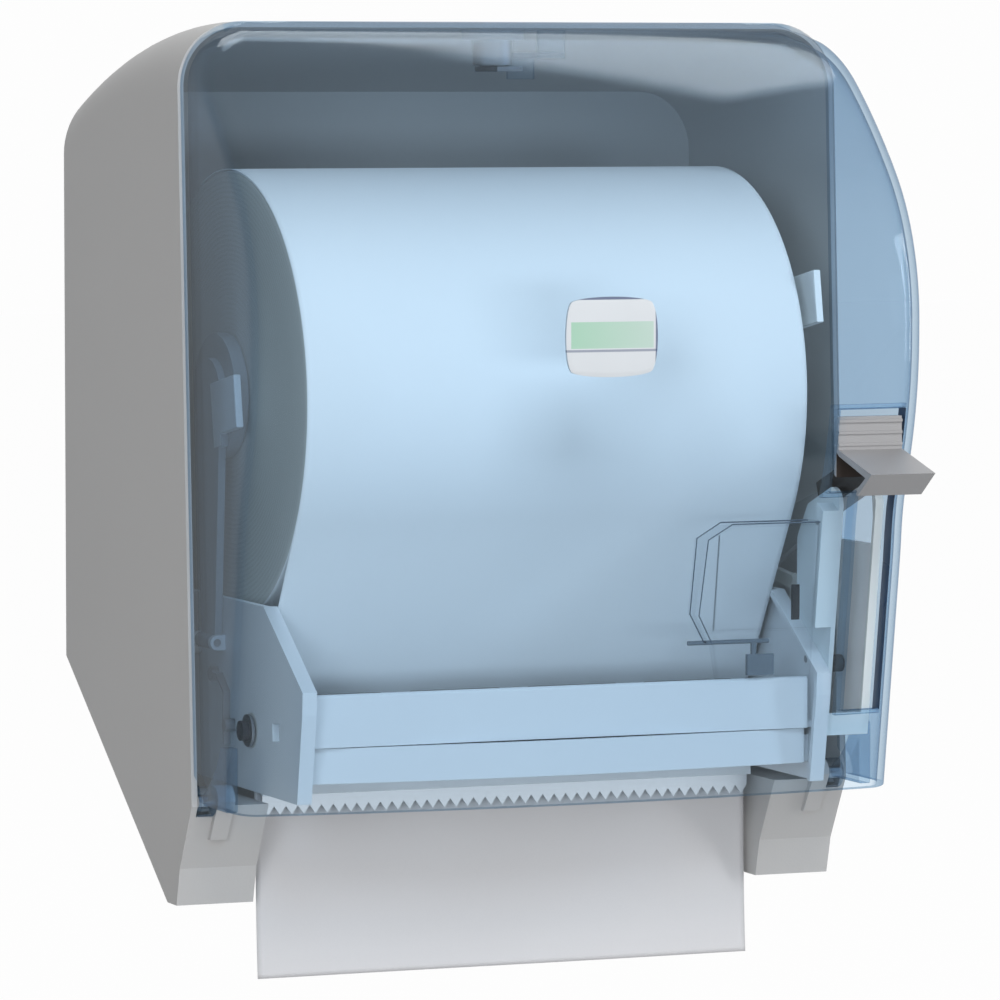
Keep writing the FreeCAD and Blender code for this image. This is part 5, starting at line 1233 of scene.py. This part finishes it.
@dataclass
class Badge:
    """A plain bowed plate let into the cover's front.

    Attributes:
        cover: the cover that carries it.
        half_width: half its width at the corners.
        half_height: half its height at the corners.
        middle_z: height of its middle.
        bow: how far its sides bow outwards.
        corner_cut: share by which its corners are drawn in.
        proud: how far it stands in front of the cover.
        skirt: how far its rim runs back behind its face.
    """

    cover: Cover
    half_width: float = 17.5
    half_height: float = 14.0
    middle_z: float = 35.0
    bow: float = 1.6
    corner_cut: float = 0.045
    proud: float = 0.55
    skirt: float = 0.75

    def build(self) -> None:
        """Build the badge.

        Its face is a grid (u, v) from -1 to 1; x = u (half width + bow (1 - v v)) and the
        height likewise, so all four sides bow outwards. A dome lifts it off the cover, and a
        skirt runs back from its edge.
        """
        line = np.linspace(-1.0, 1.0, 41)
        v, u = np.meshgrid(line, line, indexing="ij")
        squeeze = 1.0 - self.corner_cut * (u * v) ** 6
        rise = 0.9 * self.bow
        x = u * (self.half_width + self.bow * (1.0 - v ** 2)) * squeeze
        z = self.middle_z + v * (self.half_height + rise * (1.0 - u ** 2)) * squeeze
        edge = np.maximum(np.abs(u), np.abs(v))
        lift = self.proud * (1.0 - 0.55 * eased((edge - 0.9) / 0.1))
        t = self.cover.front_t(x, z) + lift
        face = np.stack([x, -t, z], -1)
        count = len(line)
        rim = np.concatenate([np.arange(count - 1), np.arange(count - 1, count * count - 1, count),
                              np.arange(count * count - 1, count * (count - 1), -1),
                              np.arange(count * (count - 1), 0, -count)])
        front = face.reshape(-1, 3)
        back = front[rim] + np.array([0.0, self.proud + self.skirt, 0.0])
        points = np.concatenate([front, back])
        start = count * count
        after = np.roll(np.arange(len(rim)), -1)
        skirt = np.stack([rim, rim[after], start + after, start + np.arange(len(rim))], 1)
        lid = [(start + np.arange(len(rim))).tolist()]
        faces = grid_faces(count, count).tolist() + skirt.tolist() + lid
        mesh = new_mesh("badge_plate", points, faces, 35.0)
        layer = mesh.uv_layers.new(name="face")
        corners = np.empty(len(mesh.loops), np.int32)
        mesh.loops.foreach_get("vertex_index", corners)
        places = np.empty(len(mesh.vertices) * 3)
        mesh.vertices.foreach_get("co", places)
        places = places.reshape(-1, 3)[corners] / MM
        across = (places[:, 0] / (self.half_width + self.bow) + 1.0) / 2.0
        up = ((places[:, 2] - self.middle_z) / (self.half_height + rise) + 1.0) / 2.0
        layer.data.foreach_set("uv", np.column_stack([across, up]).ravel())
        put("badge_plate", mesh, "cover", Finish.BADGE, ["badge"])


@dataclass
class Chassis:
    """The white frame inside: side plates, cross member, lip, blade, guide and clear guard.

    Attributes:
        moulded_bevel: rounding on its mouldings.
        small_bevel: rounding on screws and the latch.
        stop_bevel: rounding on the guard's stop.
        guard_reach: how far left of the guard's right end its edge line runs, point by point.
        guard_drop: how far under the guard's top those points are; the last is at its foot.
        guard_foot: height of the line's foot over the guard's lowest point.
        guard_line: radius of the line.
    """

    moulded_bevel: float = 0.6
    small_bevel: float = 0.2
    stop_bevel: float = 0.3
    guard_reach: tuple[float, ...] = (0.0, 38.0, 48.2, 51.2, 45.0)
    guard_drop: tuple[float, ...] = (0.0, 0.0, 6.0, 36.0, math.inf)
    guard_foot: float = 14.7
    guard_line: float = 0.28

    def build(self) -> None:
        """Build the chassis."""
        dress(Finish.CHASSIS, self.moulded_bevel, "left_side_plate", "right_side_plate", "cross_member",
              "paper_lip", "rear_guide")
        dress(Finish.BLADE, 0.0, "tear_bar")
        dress(Finish.STEEL, self.small_bevel, "chassis_screws")
        dress(Finish.GUARD, 0.0, "roll_guard")
        self.guard_edges()
        dress(Finish.LATCH, self.small_bevel, "guard_latch")
        dress(Finish.RUBBER, self.stop_bevel, "guard_stop")

    def guard_edges(self) -> None:
        """The edges of the clear guard, where light is lost and a thin dark line shows."""
        low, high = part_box("roll_guard")
        top, foot = high.z / MM - 0.4, low.z / MM + self.guard_foot
        inner, face = high.x / MM, -high.y / MM
        for name, t_top, t_foot in (("guard_line_rear", face + 0.4, face + 0.4),
                                    ("guard_line_front", -low.y / MM - 0.5, -low.y / MM - 4.0)):
            heights = [max(top - drop, foot) for drop in self.guard_drop]
            path = [(inner - reach, t_top + (t_foot - t_top) * (top - z) / (top - foot), z)
                    for reach, z in zip(self.guard_reach, heights)]
            put(name, thread(name, path, self.guard_line), "chassis", Finish.GUARD_EDGE)


@dataclass
class FeedTrain:
    """Feed roller, pressure roller, gears, bearings and springs."""

    moulded_bevel: float = 0.3
    grip_bevel: float = 0.5
    gear_bevel: float = 0.2
    metal_bevel: float = 0.15

    def build(self) -> None:
        """Build the feed train."""
        dress(Finish.SHAFT, self.moulded_bevel, "feed_shaft")
        dress(Finish.RUBBER, self.grip_bevel, "feed_grips")
        dress(Finish.BEARING, self.moulded_bevel, "left_bush", "right_bush", "lever_bush",
              "pressure_rollers")
        dress(Finish.GEAR, self.gear_bevel, "roller_gear", "sector_gear")
        dress(Finish.STEEL, self.metal_bevel, "shaft_clip", "pressure_shaft", "left_pressure_spring",
              "right_pressure_spring", "lever_pin", "lever_spring")


@dataclass
class LeverUnit:
    """The push lever with its case, stop and screws.

    Attributes:
        paddle: X of the paddle's left and right ends.
        paddle_wall: wall of the paddle.
        pocket: outline (t, z) of the opening in the paddle's left end.
        arm_side: X of the arm's left side, which lies in shade behind the paddle.
        arm_t: depth from which that side is painted dark as shade.
        lever_bevel: rounding on the lever.
        case_bevel: rounding on its case.
        lid_bevel: rounding on the case's cover.
        screw_bevel: rounding on the screws.
        buffer_bevel: rounding on the end stop.
    """

    paddle: Pair = (102.2, 129.8)
    paddle_wall: float = 2.0
    pocket: tuple[Pair, ...] = ((230.0, -12.5), (232.5, -14.1), (256.5, -21.1), (249.0, -25.9),
                                (247.0, -31.5), (230.0, -27.5))
    arm_side: float = 116.5
    arm_t: float = 205.0
    lever_bevel: float = 0.5
    case_bevel: float = 0.6
    lid_bevel: float = 0.5
    screw_bevel: float = 0.2
    buffer_bevel: float = 0.4

    def build(self) -> None:
        """Build the lever and its case."""
        put("lever_shown", self.lever(), "lever", Finish.LEVER, ["lever"], self.lever_bevel,
            edge=Finish.HOLLOW_PAINTED_SHADE)
        dress(Finish.CASE, self.case_bevel, "lever_case")
        # painted light: the case's cover takes a lighter copy of the case's plastic
        dress(Finish.CASE_LID_PAINTED_LIGHT, self.lid_bevel, "case_cover")
        dress(Finish.STEEL, self.screw_bevel, "case_screws")
        dress(Finish.RUBBER, self.buffer_bevel, "lever_buffer")

    def lever(self) -> bpy.types.Mesh:
        """The lever's mesh with the left end of its paddle cut open and painted shade in its hollow.

        A face gets painted shade, a near-black colour, when its middle lies between the pocket's
        roof, front and foot, or on the arm's left side.

        Returns:
            The mesh, with the painted shade's faces on the second material.
        """
        form = bpy.data.objects.new("lever_form", clean_copy("lever"))
        left, right = self.paddle
        cutter = bpy.data.objects.new("paddle_cutter", prism("paddle_cutter", self.pocket, left - 1.0,
                                                             left + self.paddle_wall + 0.2))
        for piece in (form, cutter):
            bpy.context.scene.collection.objects.link(piece)
        cut = form.modifiers.new("open_end", "BOOLEAN")
        cut.operation, cut.solver, cut.object = "DIFFERENCE", "EXACT", cutter
        graph = bpy.context.evaluated_depsgraph_get()
        mesh = bpy.data.meshes.new_from_object(form.evaluated_get(graph))
        for piece in (form, cutter):
            bpy.data.objects.remove(piece)
        middle = np.empty(3 * len(mesh.polygons))
        mesh.polygons.foreach_get("center", middle)
        x, y, z = middle.reshape(-1, 3).T / MM
        t = -y
        (t0, top0), (t1, top1) = self.pocket[1], self.pocket[2]
        roof = top0 + (top1 - top0) * np.clip((t - t0) / (t1 - t0), 0.0, 1.0)
        (t2, z2), (t3, z3) = self.pocket[3], self.pocket[4]
        front = np.interp(z, (z3, z2, top1), (t3, t2, t1)) + 0.7
        # painted shade: faces inside the pocket and on the arm's left side get the near-black second
        # material
        inside = ((t < front) & (x > left + 0.3) & (x < right - self.paddle_wall + 0.2)
                  & (t > self.pocket[0][0] - 0.2) & (z < roof + 0.25) & (z > z3 + 0.3))
        inside |= (abs(x - self.arm_side) < 0.2) & (t > self.arm_t) & (t < self.pocket[0][0])
        mesh.polygons.foreach_set("material_index", inside.astype(np.int32))
        return mesh


@dataclass
class RollHolder:
    """The two arms with their tabs and hubs.

    Attributes:
        inner_x: X of an arm's inner face.
        thick: thickness of an arm.
        tab: length and height of a tab.
        hook: length and height of the left tab's hook.
        left_tab: (t, z) of the left tab's middle.
        right_tab: (t, z) of the right tab's middle.
        tilt_deg: how far the tabs lean back.
        skin: how far the pads stand outside the tabs.
        arm_bevel: rounding on the arms.
        pad_bevel: rounding on the pads.
        hub_bevel: rounding on the hubs.
        metal_bevel: rounding on screw and pin.
    """

    inner_x: float = 112.3
    thick: float = 3.0
    tab: Pair = (28.0, 21.0)
    hook: Pair = (9.0, 5.0)
    left_tab: Pair = (123.0, 5.0)
    right_tab: Pair = (174.0, 45.0)
    tilt_deg: float = 10.0
    skin: float = 0.12
    arm_bevel: float = 0.6
    pad_bevel: float = 0.5
    hub_bevel: float = 0.4
    metal_bevel: float = 0.2

    def pad(self, name: str, body: str, side: int, middle: Pair, hooked: bool) -> None:
        """The pale finger pad moulded round an arm's tab.

        Args:
            name: the piece's name.
            body: the body it moves with.
            side: 1 for the right, -1 for the left.
            middle: (t, z) of the tab's middle.
            hooked: whether it has the hook underneath.
        """
        a, b = self.tab[0] / 2.0 + self.skin, self.tab[1] / 2.0 + self.skin
        corners = [(a, -b), (a, b), (-a, b)]
        if hooked:
            reach, foot = self.hook[0] - a, -b - self.hook[1]
            corners += [(-a, foot), (reach, foot), (reach, -b)]
        else:
            corners.append((-a, -b))
        turn = math.radians(self.tilt_deg)
        outline = [(middle[0] + u * math.cos(turn) - v * math.sin(turn),
                    middle[1] + u * math.sin(turn) + v * math.cos(turn)) for u, v in corners]
        x0, x1 = sorted((side * (self.inner_x - self.skin), side * (self.inner_x + self.thick + self.skin)))
        put(name, prism(name, outline, x0, x1), body, Finish.TAB, bevel=self.pad_bevel)

    def build(self) -> None:
        """Build the arms."""
        # painted shade: the arms are coloured dark grey for the shade they lie in; the pads keep the tabs'
        # white
        dress(Finish.ARM_PAINTED_SHADE, self.arm_bevel, "left_roll_arm", "right_roll_arm")
        self.pad("left_tab_pad", body_of_node("left_roll_arm"), -1, self.left_tab, True)
        self.pad("right_tab_pad", body_of_node("right_roll_arm"), 1, self.right_tab, False)
        # painted shade: the hubs' dark grey stands for the shade round them
        dress(Finish.HUB_PAINTED_SHADE, self.hub_bevel, "left_core_hub", "right_core_hub")
        dress(Finish.STEEL, self.metal_bevel, "arm_screw", "arm_pin")


@dataclass
class Towel:
    """The roll, its core, the web that leaves it and the hanging tail.

    Attributes:
        axis: (t, z) of the roll's axis.
        radius: radius of the roll.
        half: half its width.
        core_r: radius of its bore.
        edge_r: radius of its soft edges.
        dish: how far its ends dish inwards.
        core_bevel: rounding on its core.
        feed: (t, z) of the feed roller's axis.
        feed_r: radius of the feed roller.
        web_start_deg: where the web leaves the roll, from straight in front upwards.
        web_thick: thickness of the web.
        tail_end: height over the tail's foot from which it moves with the slide alone; not used.
        tail_thick: thickness of the tail.
        tail_bow: how far the tail's foot curls forwards.
    """

    axis: Pair = (104.0, 8.0)
    radius: float = 89.5
    half: float = 106.0
    core_r: float = 22.0
    edge_r: float = 1.6
    dish: float = 0.9
    core_bevel: float = 0.2
    feed: Pair = (146.0, -122.0)
    feed_r: float = 13.0
    web_start_deg: float = 112.0
    web_thick: float = 0.3
    tail_end: float = 12.0
    tail_thick: float = 0.25
    tail_bow: float = 2.5

    def roll(self) -> bpy.types.Mesh:
        """The wound roll: a tube with softly rounded edges and ends that dish a little.

        The dish follows the square of a sine from the edge to the core.

        Returns:
            The mesh.
        """
        turn = np.linspace(0.0, math.pi / 2.0, 6)
        outer = np.column_stack([self.half - self.edge_r * (1.0 - np.sin(turn)),
                                 self.radius - self.edge_r * (1.0 - np.cos(turn))])
        down = np.linspace(self.radius - self.edge_r, self.core_r + 0.05, 24)[1:]
        dish = self.dish * np.sin(np.linspace(0.0, math.pi, 24)[1:]) ** 2
        end = np.column_stack([self.half - dish, down])
        right = np.concatenate([outer, end])
        left = right[::-1] * np.array([-1.0, 1.0])
        return turned_profile("towel_roll_wound", np.concatenate([left, right]).tolist(), self.axis, 192)

    def build(self) -> None:
        """Build the towel's pieces."""
        put("towel_roll_wound", self.roll(), "roll", Finish.ROLL, ["towel_roll"])
        dress(Finish.CARD, self.core_bevel, "roll_core")
        self.web()
        self.tail()

    def web(self) -> None:
        """The stretched run of towel from the roll to the feed roller and down behind the blade.

        It is the inner tangent of two circles, with angle acos((r1 + r2) / d) on each side of the
        line between their centres, where r1 and r2 are the radii and d the distance between centres.
        """
        centre, feed = np.array(self.axis), np.array(self.feed)
        r1, r2 = self.radius + 0.5, self.feed_r + 0.35
        away = feed - centre
        along = math.atan2(away[1], away[0])
        angle = along + math.acos((r1 + r2) / float(np.linalg.norm(away)))
        lift = np.linspace(math.radians(self.web_start_deg), angle, 72)[:, None]
        wrap = np.linspace(angle + math.pi, math.pi, 8)[:, None]
        line = np.concatenate([centre + r1 * np.hstack([np.cos(lift), np.sin(lift)]),
                               feed + r2 * np.hstack([np.cos(wrap), np.sin(wrap)]),
                               [(feed[0] - r2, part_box("towel_web")[0].z / MM + 0.1)]])
        x = np.linspace(-self.half, self.half, 107)
        points = np.stack([np.broadcast_to(x, (len(line), len(x))), np.repeat(-line[:, :1], len(x), 1),
                           np.repeat(line[:, 1:], len(x), 1)], -1)
        sheet = new_mesh("towel_web_sheet", points, grid_faces(len(line), len(x)), 60.0)
        piece = put("towel_web_shown", sheet, body_of_node("towel_web"), Finish.TOWEL, ["towel_web"])
        thicken(piece, self.web_thick)

    def tail(self) -> None:
        """The hanging end: a sheet that falls almost straight and curls a little at its foot.

        It rides on no body, and its transform is baked into its mesh.
        """
        low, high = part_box("towel_tail")
        x = np.linspace(-self.half, self.half, 89)
        share = np.linspace(0.0, 1.0, 45)
        top, foot = high.z / MM - 0.1, low.z / MM + 0.05
        across, down = np.meshgrid(x, share)
        t0 = -high.y / MM + 0.25
        z = top + (foot - top) * down
        bow = self.tail_bow * down ** 3 + 0.35 * np.sin(across / 31.0) * down ** 2
        t = t0 + np.clip(bow, 0.0, None) * (1.0 + 0.12 * np.cos(across / 55.0))
        sheet = new_mesh("towel_tail_sheet", np.stack([across, -t, z], -1), grid_faces(len(share), len(x)))
        # painted shade: the tail takes a greyer copy of the towel paper
        piece = put("towel_tail_sheet", sheet, "", Finish.TAIL_PAINTED_SHADE, ["towel_tail"])
        thicken(piece, self.tail_thick)
        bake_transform(piece)


@dataclass(frozen=True)
class WhiteFloor(Material):
    """A pale floor that the camera sees as nearly white, with the object's shadow on it."""

    pale: float = 0.45
    glow: float = 0.98

    def shader(self, graph: Graph) -> Socket:
        """The floor's own colour, with a white glow over it for what the camera sees.

        Args:
            graph: the material's graph.

        Returns:
            The shader.
        """
        skin = graph.skin(Base_Color=rgba((self.pale,) * 3), Roughness=0.9, Specular_IOR_Level=0.0)
        white = graph.add("ShaderNodeEmission", Color=(1.0, 1.0, 1.0, 1.0), Strength=1.0).outputs[0]
        return graph.layered(graph.times(graph.seen(), self.glow), skin, white)


@dataclass(frozen=True)
class Lamp:
    """An area lamp that faces the object.

    Attributes:
        name: the lamp's name.
        azimuth_deg: direction round the object, from straight in front towards its right.
        elevation_deg: height above the level.
        distance: distance in metres.
        size: width and height in metres.
        light: how light it makes a matt white face that is turned to it.
        mirrored: whether its own reflection shows in glossy faces.
    """

    name: str
    azimuth_deg: float
    elevation_deg: float
    distance: float
    size: Pair
    light: float
    mirrored: bool = False

    def build(self, target: Vector) -> None:
        """Add the lamp.

        Its power is P = pi^2 d^2 f, where d is the distance and f its light.

        Args:
            target: the point that it faces.
        """
        data = bpy.data.lights.new(self.name, "AREA")
        data.shape = "RECTANGLE"
        data.size, data.size_y = self.size
        data.energy = math.pi ** 2 * self.distance ** 2 * self.light
        lamp = bpy.data.objects.new(self.name, data)
        lamp.visible_glossy = self.mirrored
        a, e = math.radians(self.azimuth_deg), math.radians(self.elevation_deg)
        way = Vector((math.sin(a) * math.cos(e), -math.cos(a) * math.cos(e), math.sin(e)))
        lamp.location = target + way * self.distance
        lamp.rotation_euler = (-way).to_track_quat("-Z", "Y").to_euler()
        bpy.context.scene.collection.objects.link(lamp)


@dataclass
class Studio:
    """Floor, world, lamps and camera.

    Attributes:
        target: the point that camera and lamps face, in metres.
        distance: the camera's distance from it, in metres.
        azimuth_deg: direction of the camera, from straight in front towards the object's left.
        elevation_deg: its height above the level.
        lens: its focal length, on a sensor 36 mm wide.
        floor_z: height of the floor, in metres.
        floor_half: half the floor's width, in metres.
        world_light: strength of the light from all round.
        white: strength of the surround that the camera sees.
        lamps: a key from the front, weaker ones left, low in front and right, a strip above.
    """

    target: tuple[float, float, float] = (0.0, -0.130, -0.035)
    distance: float = 2.48
    azimuth_deg: float = 22.0
    elevation_deg: float = 3.9
    lens: float = 222.1
    floor_z: float = -0.32
    floor_half: float = 9.0
    world_light: float = 0.13
    white: float = 0.984
    lamps: tuple[Lamp, ...] = (
        Lamp("key", -6.0, 40.0, 2.7, (1.5, 0.8), 0.41),
        Lamp("left_key", -38.0, 12.0, 2.6, (0.9, 1.1), 0.31),
        Lamp("low_fill", 0.0, -2.5, 2.6, (1.6, 0.3), 0.19),
        Lamp("right_edge", 62.0, 12.0, 2.5, (0.3, 1.6), 0.32, True),
        Lamp("top_strip", 145.0, 62.0, 1.9, (1.3, 0.4), 0.32, True))

    def build(self) -> None:
        """Set up everything round the object."""
        self.world()
        self.floor()
        for lamp in self.lamps:
            lamp.build(Vector(self.target))
        self.camera()
        bpy.context.scene.view_settings.view_transform = "Standard"

    def world(self) -> None:
        """A white surround for the camera and reflections, and a dimmer one that lights."""
        world = bpy.data.worlds.new("studio")
        bpy.context.scene.world = world
        world.use_nodes = True
        world.node_tree.nodes.clear()
        graph = Graph(world.node_tree)
        light = graph.add("ShaderNodeBackground", Color=(0.95, 0.97, 1.0, 1.0), Strength=self.world_light)
        white = graph.add("ShaderNodeBackground", Color=(1.0, 1.0, 1.0, 1.0), Strength=self.white)
        graph.add("ShaderNodeOutputWorld", graph.layered(graph.seen(), light.outputs[0], white.outputs[0]))

    def floor(self) -> None:
        """A wide pale floor that looks white and keeps a soft shadow."""
        size, z = self.floor_half / MM, self.floor_z / MM
        corners = [(-size, -size, z), (size, -size, z), (size, size, z), (-size, size, z)]
        mesh = new_mesh("floor", np.array(corners), [[0, 1, 2, 3]])
        floor = bpy.data.objects.new("floor", mesh)
        bpy.context.scene.collection.objects.link(floor)
        mesh.materials.append(WhiteFloor().build("floor_white"))

    def camera(self) -> None:
        """The camera, on a line from the target by azimuth and elevation."""
        data = bpy.data.cameras.new("camera")
        data.lens = self.lens
        data.sensor_width = 36.0
        data.clip_start, data.clip_end = 0.05, 60.0
        camera = bpy.data.objects.new("camera", data)
        a, e = math.radians(self.azimuth_deg), math.radians(self.elevation_deg)
        forward = Vector((math.sin(a) * math.cos(e), math.cos(a) * math.cos(e), -math.sin(e)))
        camera.location = Vector(self.target) - forward * self.distance
        camera.rotation_euler = forward.to_track_quat("-Z", "Y").to_euler()
        bpy.context.scene.collection.objects.link(camera)
        bpy.context.scene.camera = camera


def main() -> None:
    """Build every sub-assembly in order."""
    logging.basicConfig(level=logging.INFO, format="%(name)s: %(message)s")
    cover = Cover()
    assemblies: list[object] = [Housing(), cover, Badge(cover), Chassis(), FeedTrain(), LeverUnit(),
                                RollHolder(), Towel(), Studio()]
    for assembly in assemblies:
        assembly.build()
        LOG.info("%s is built", type(assembly).__name__)


if __name__ == "__main__":
    main()
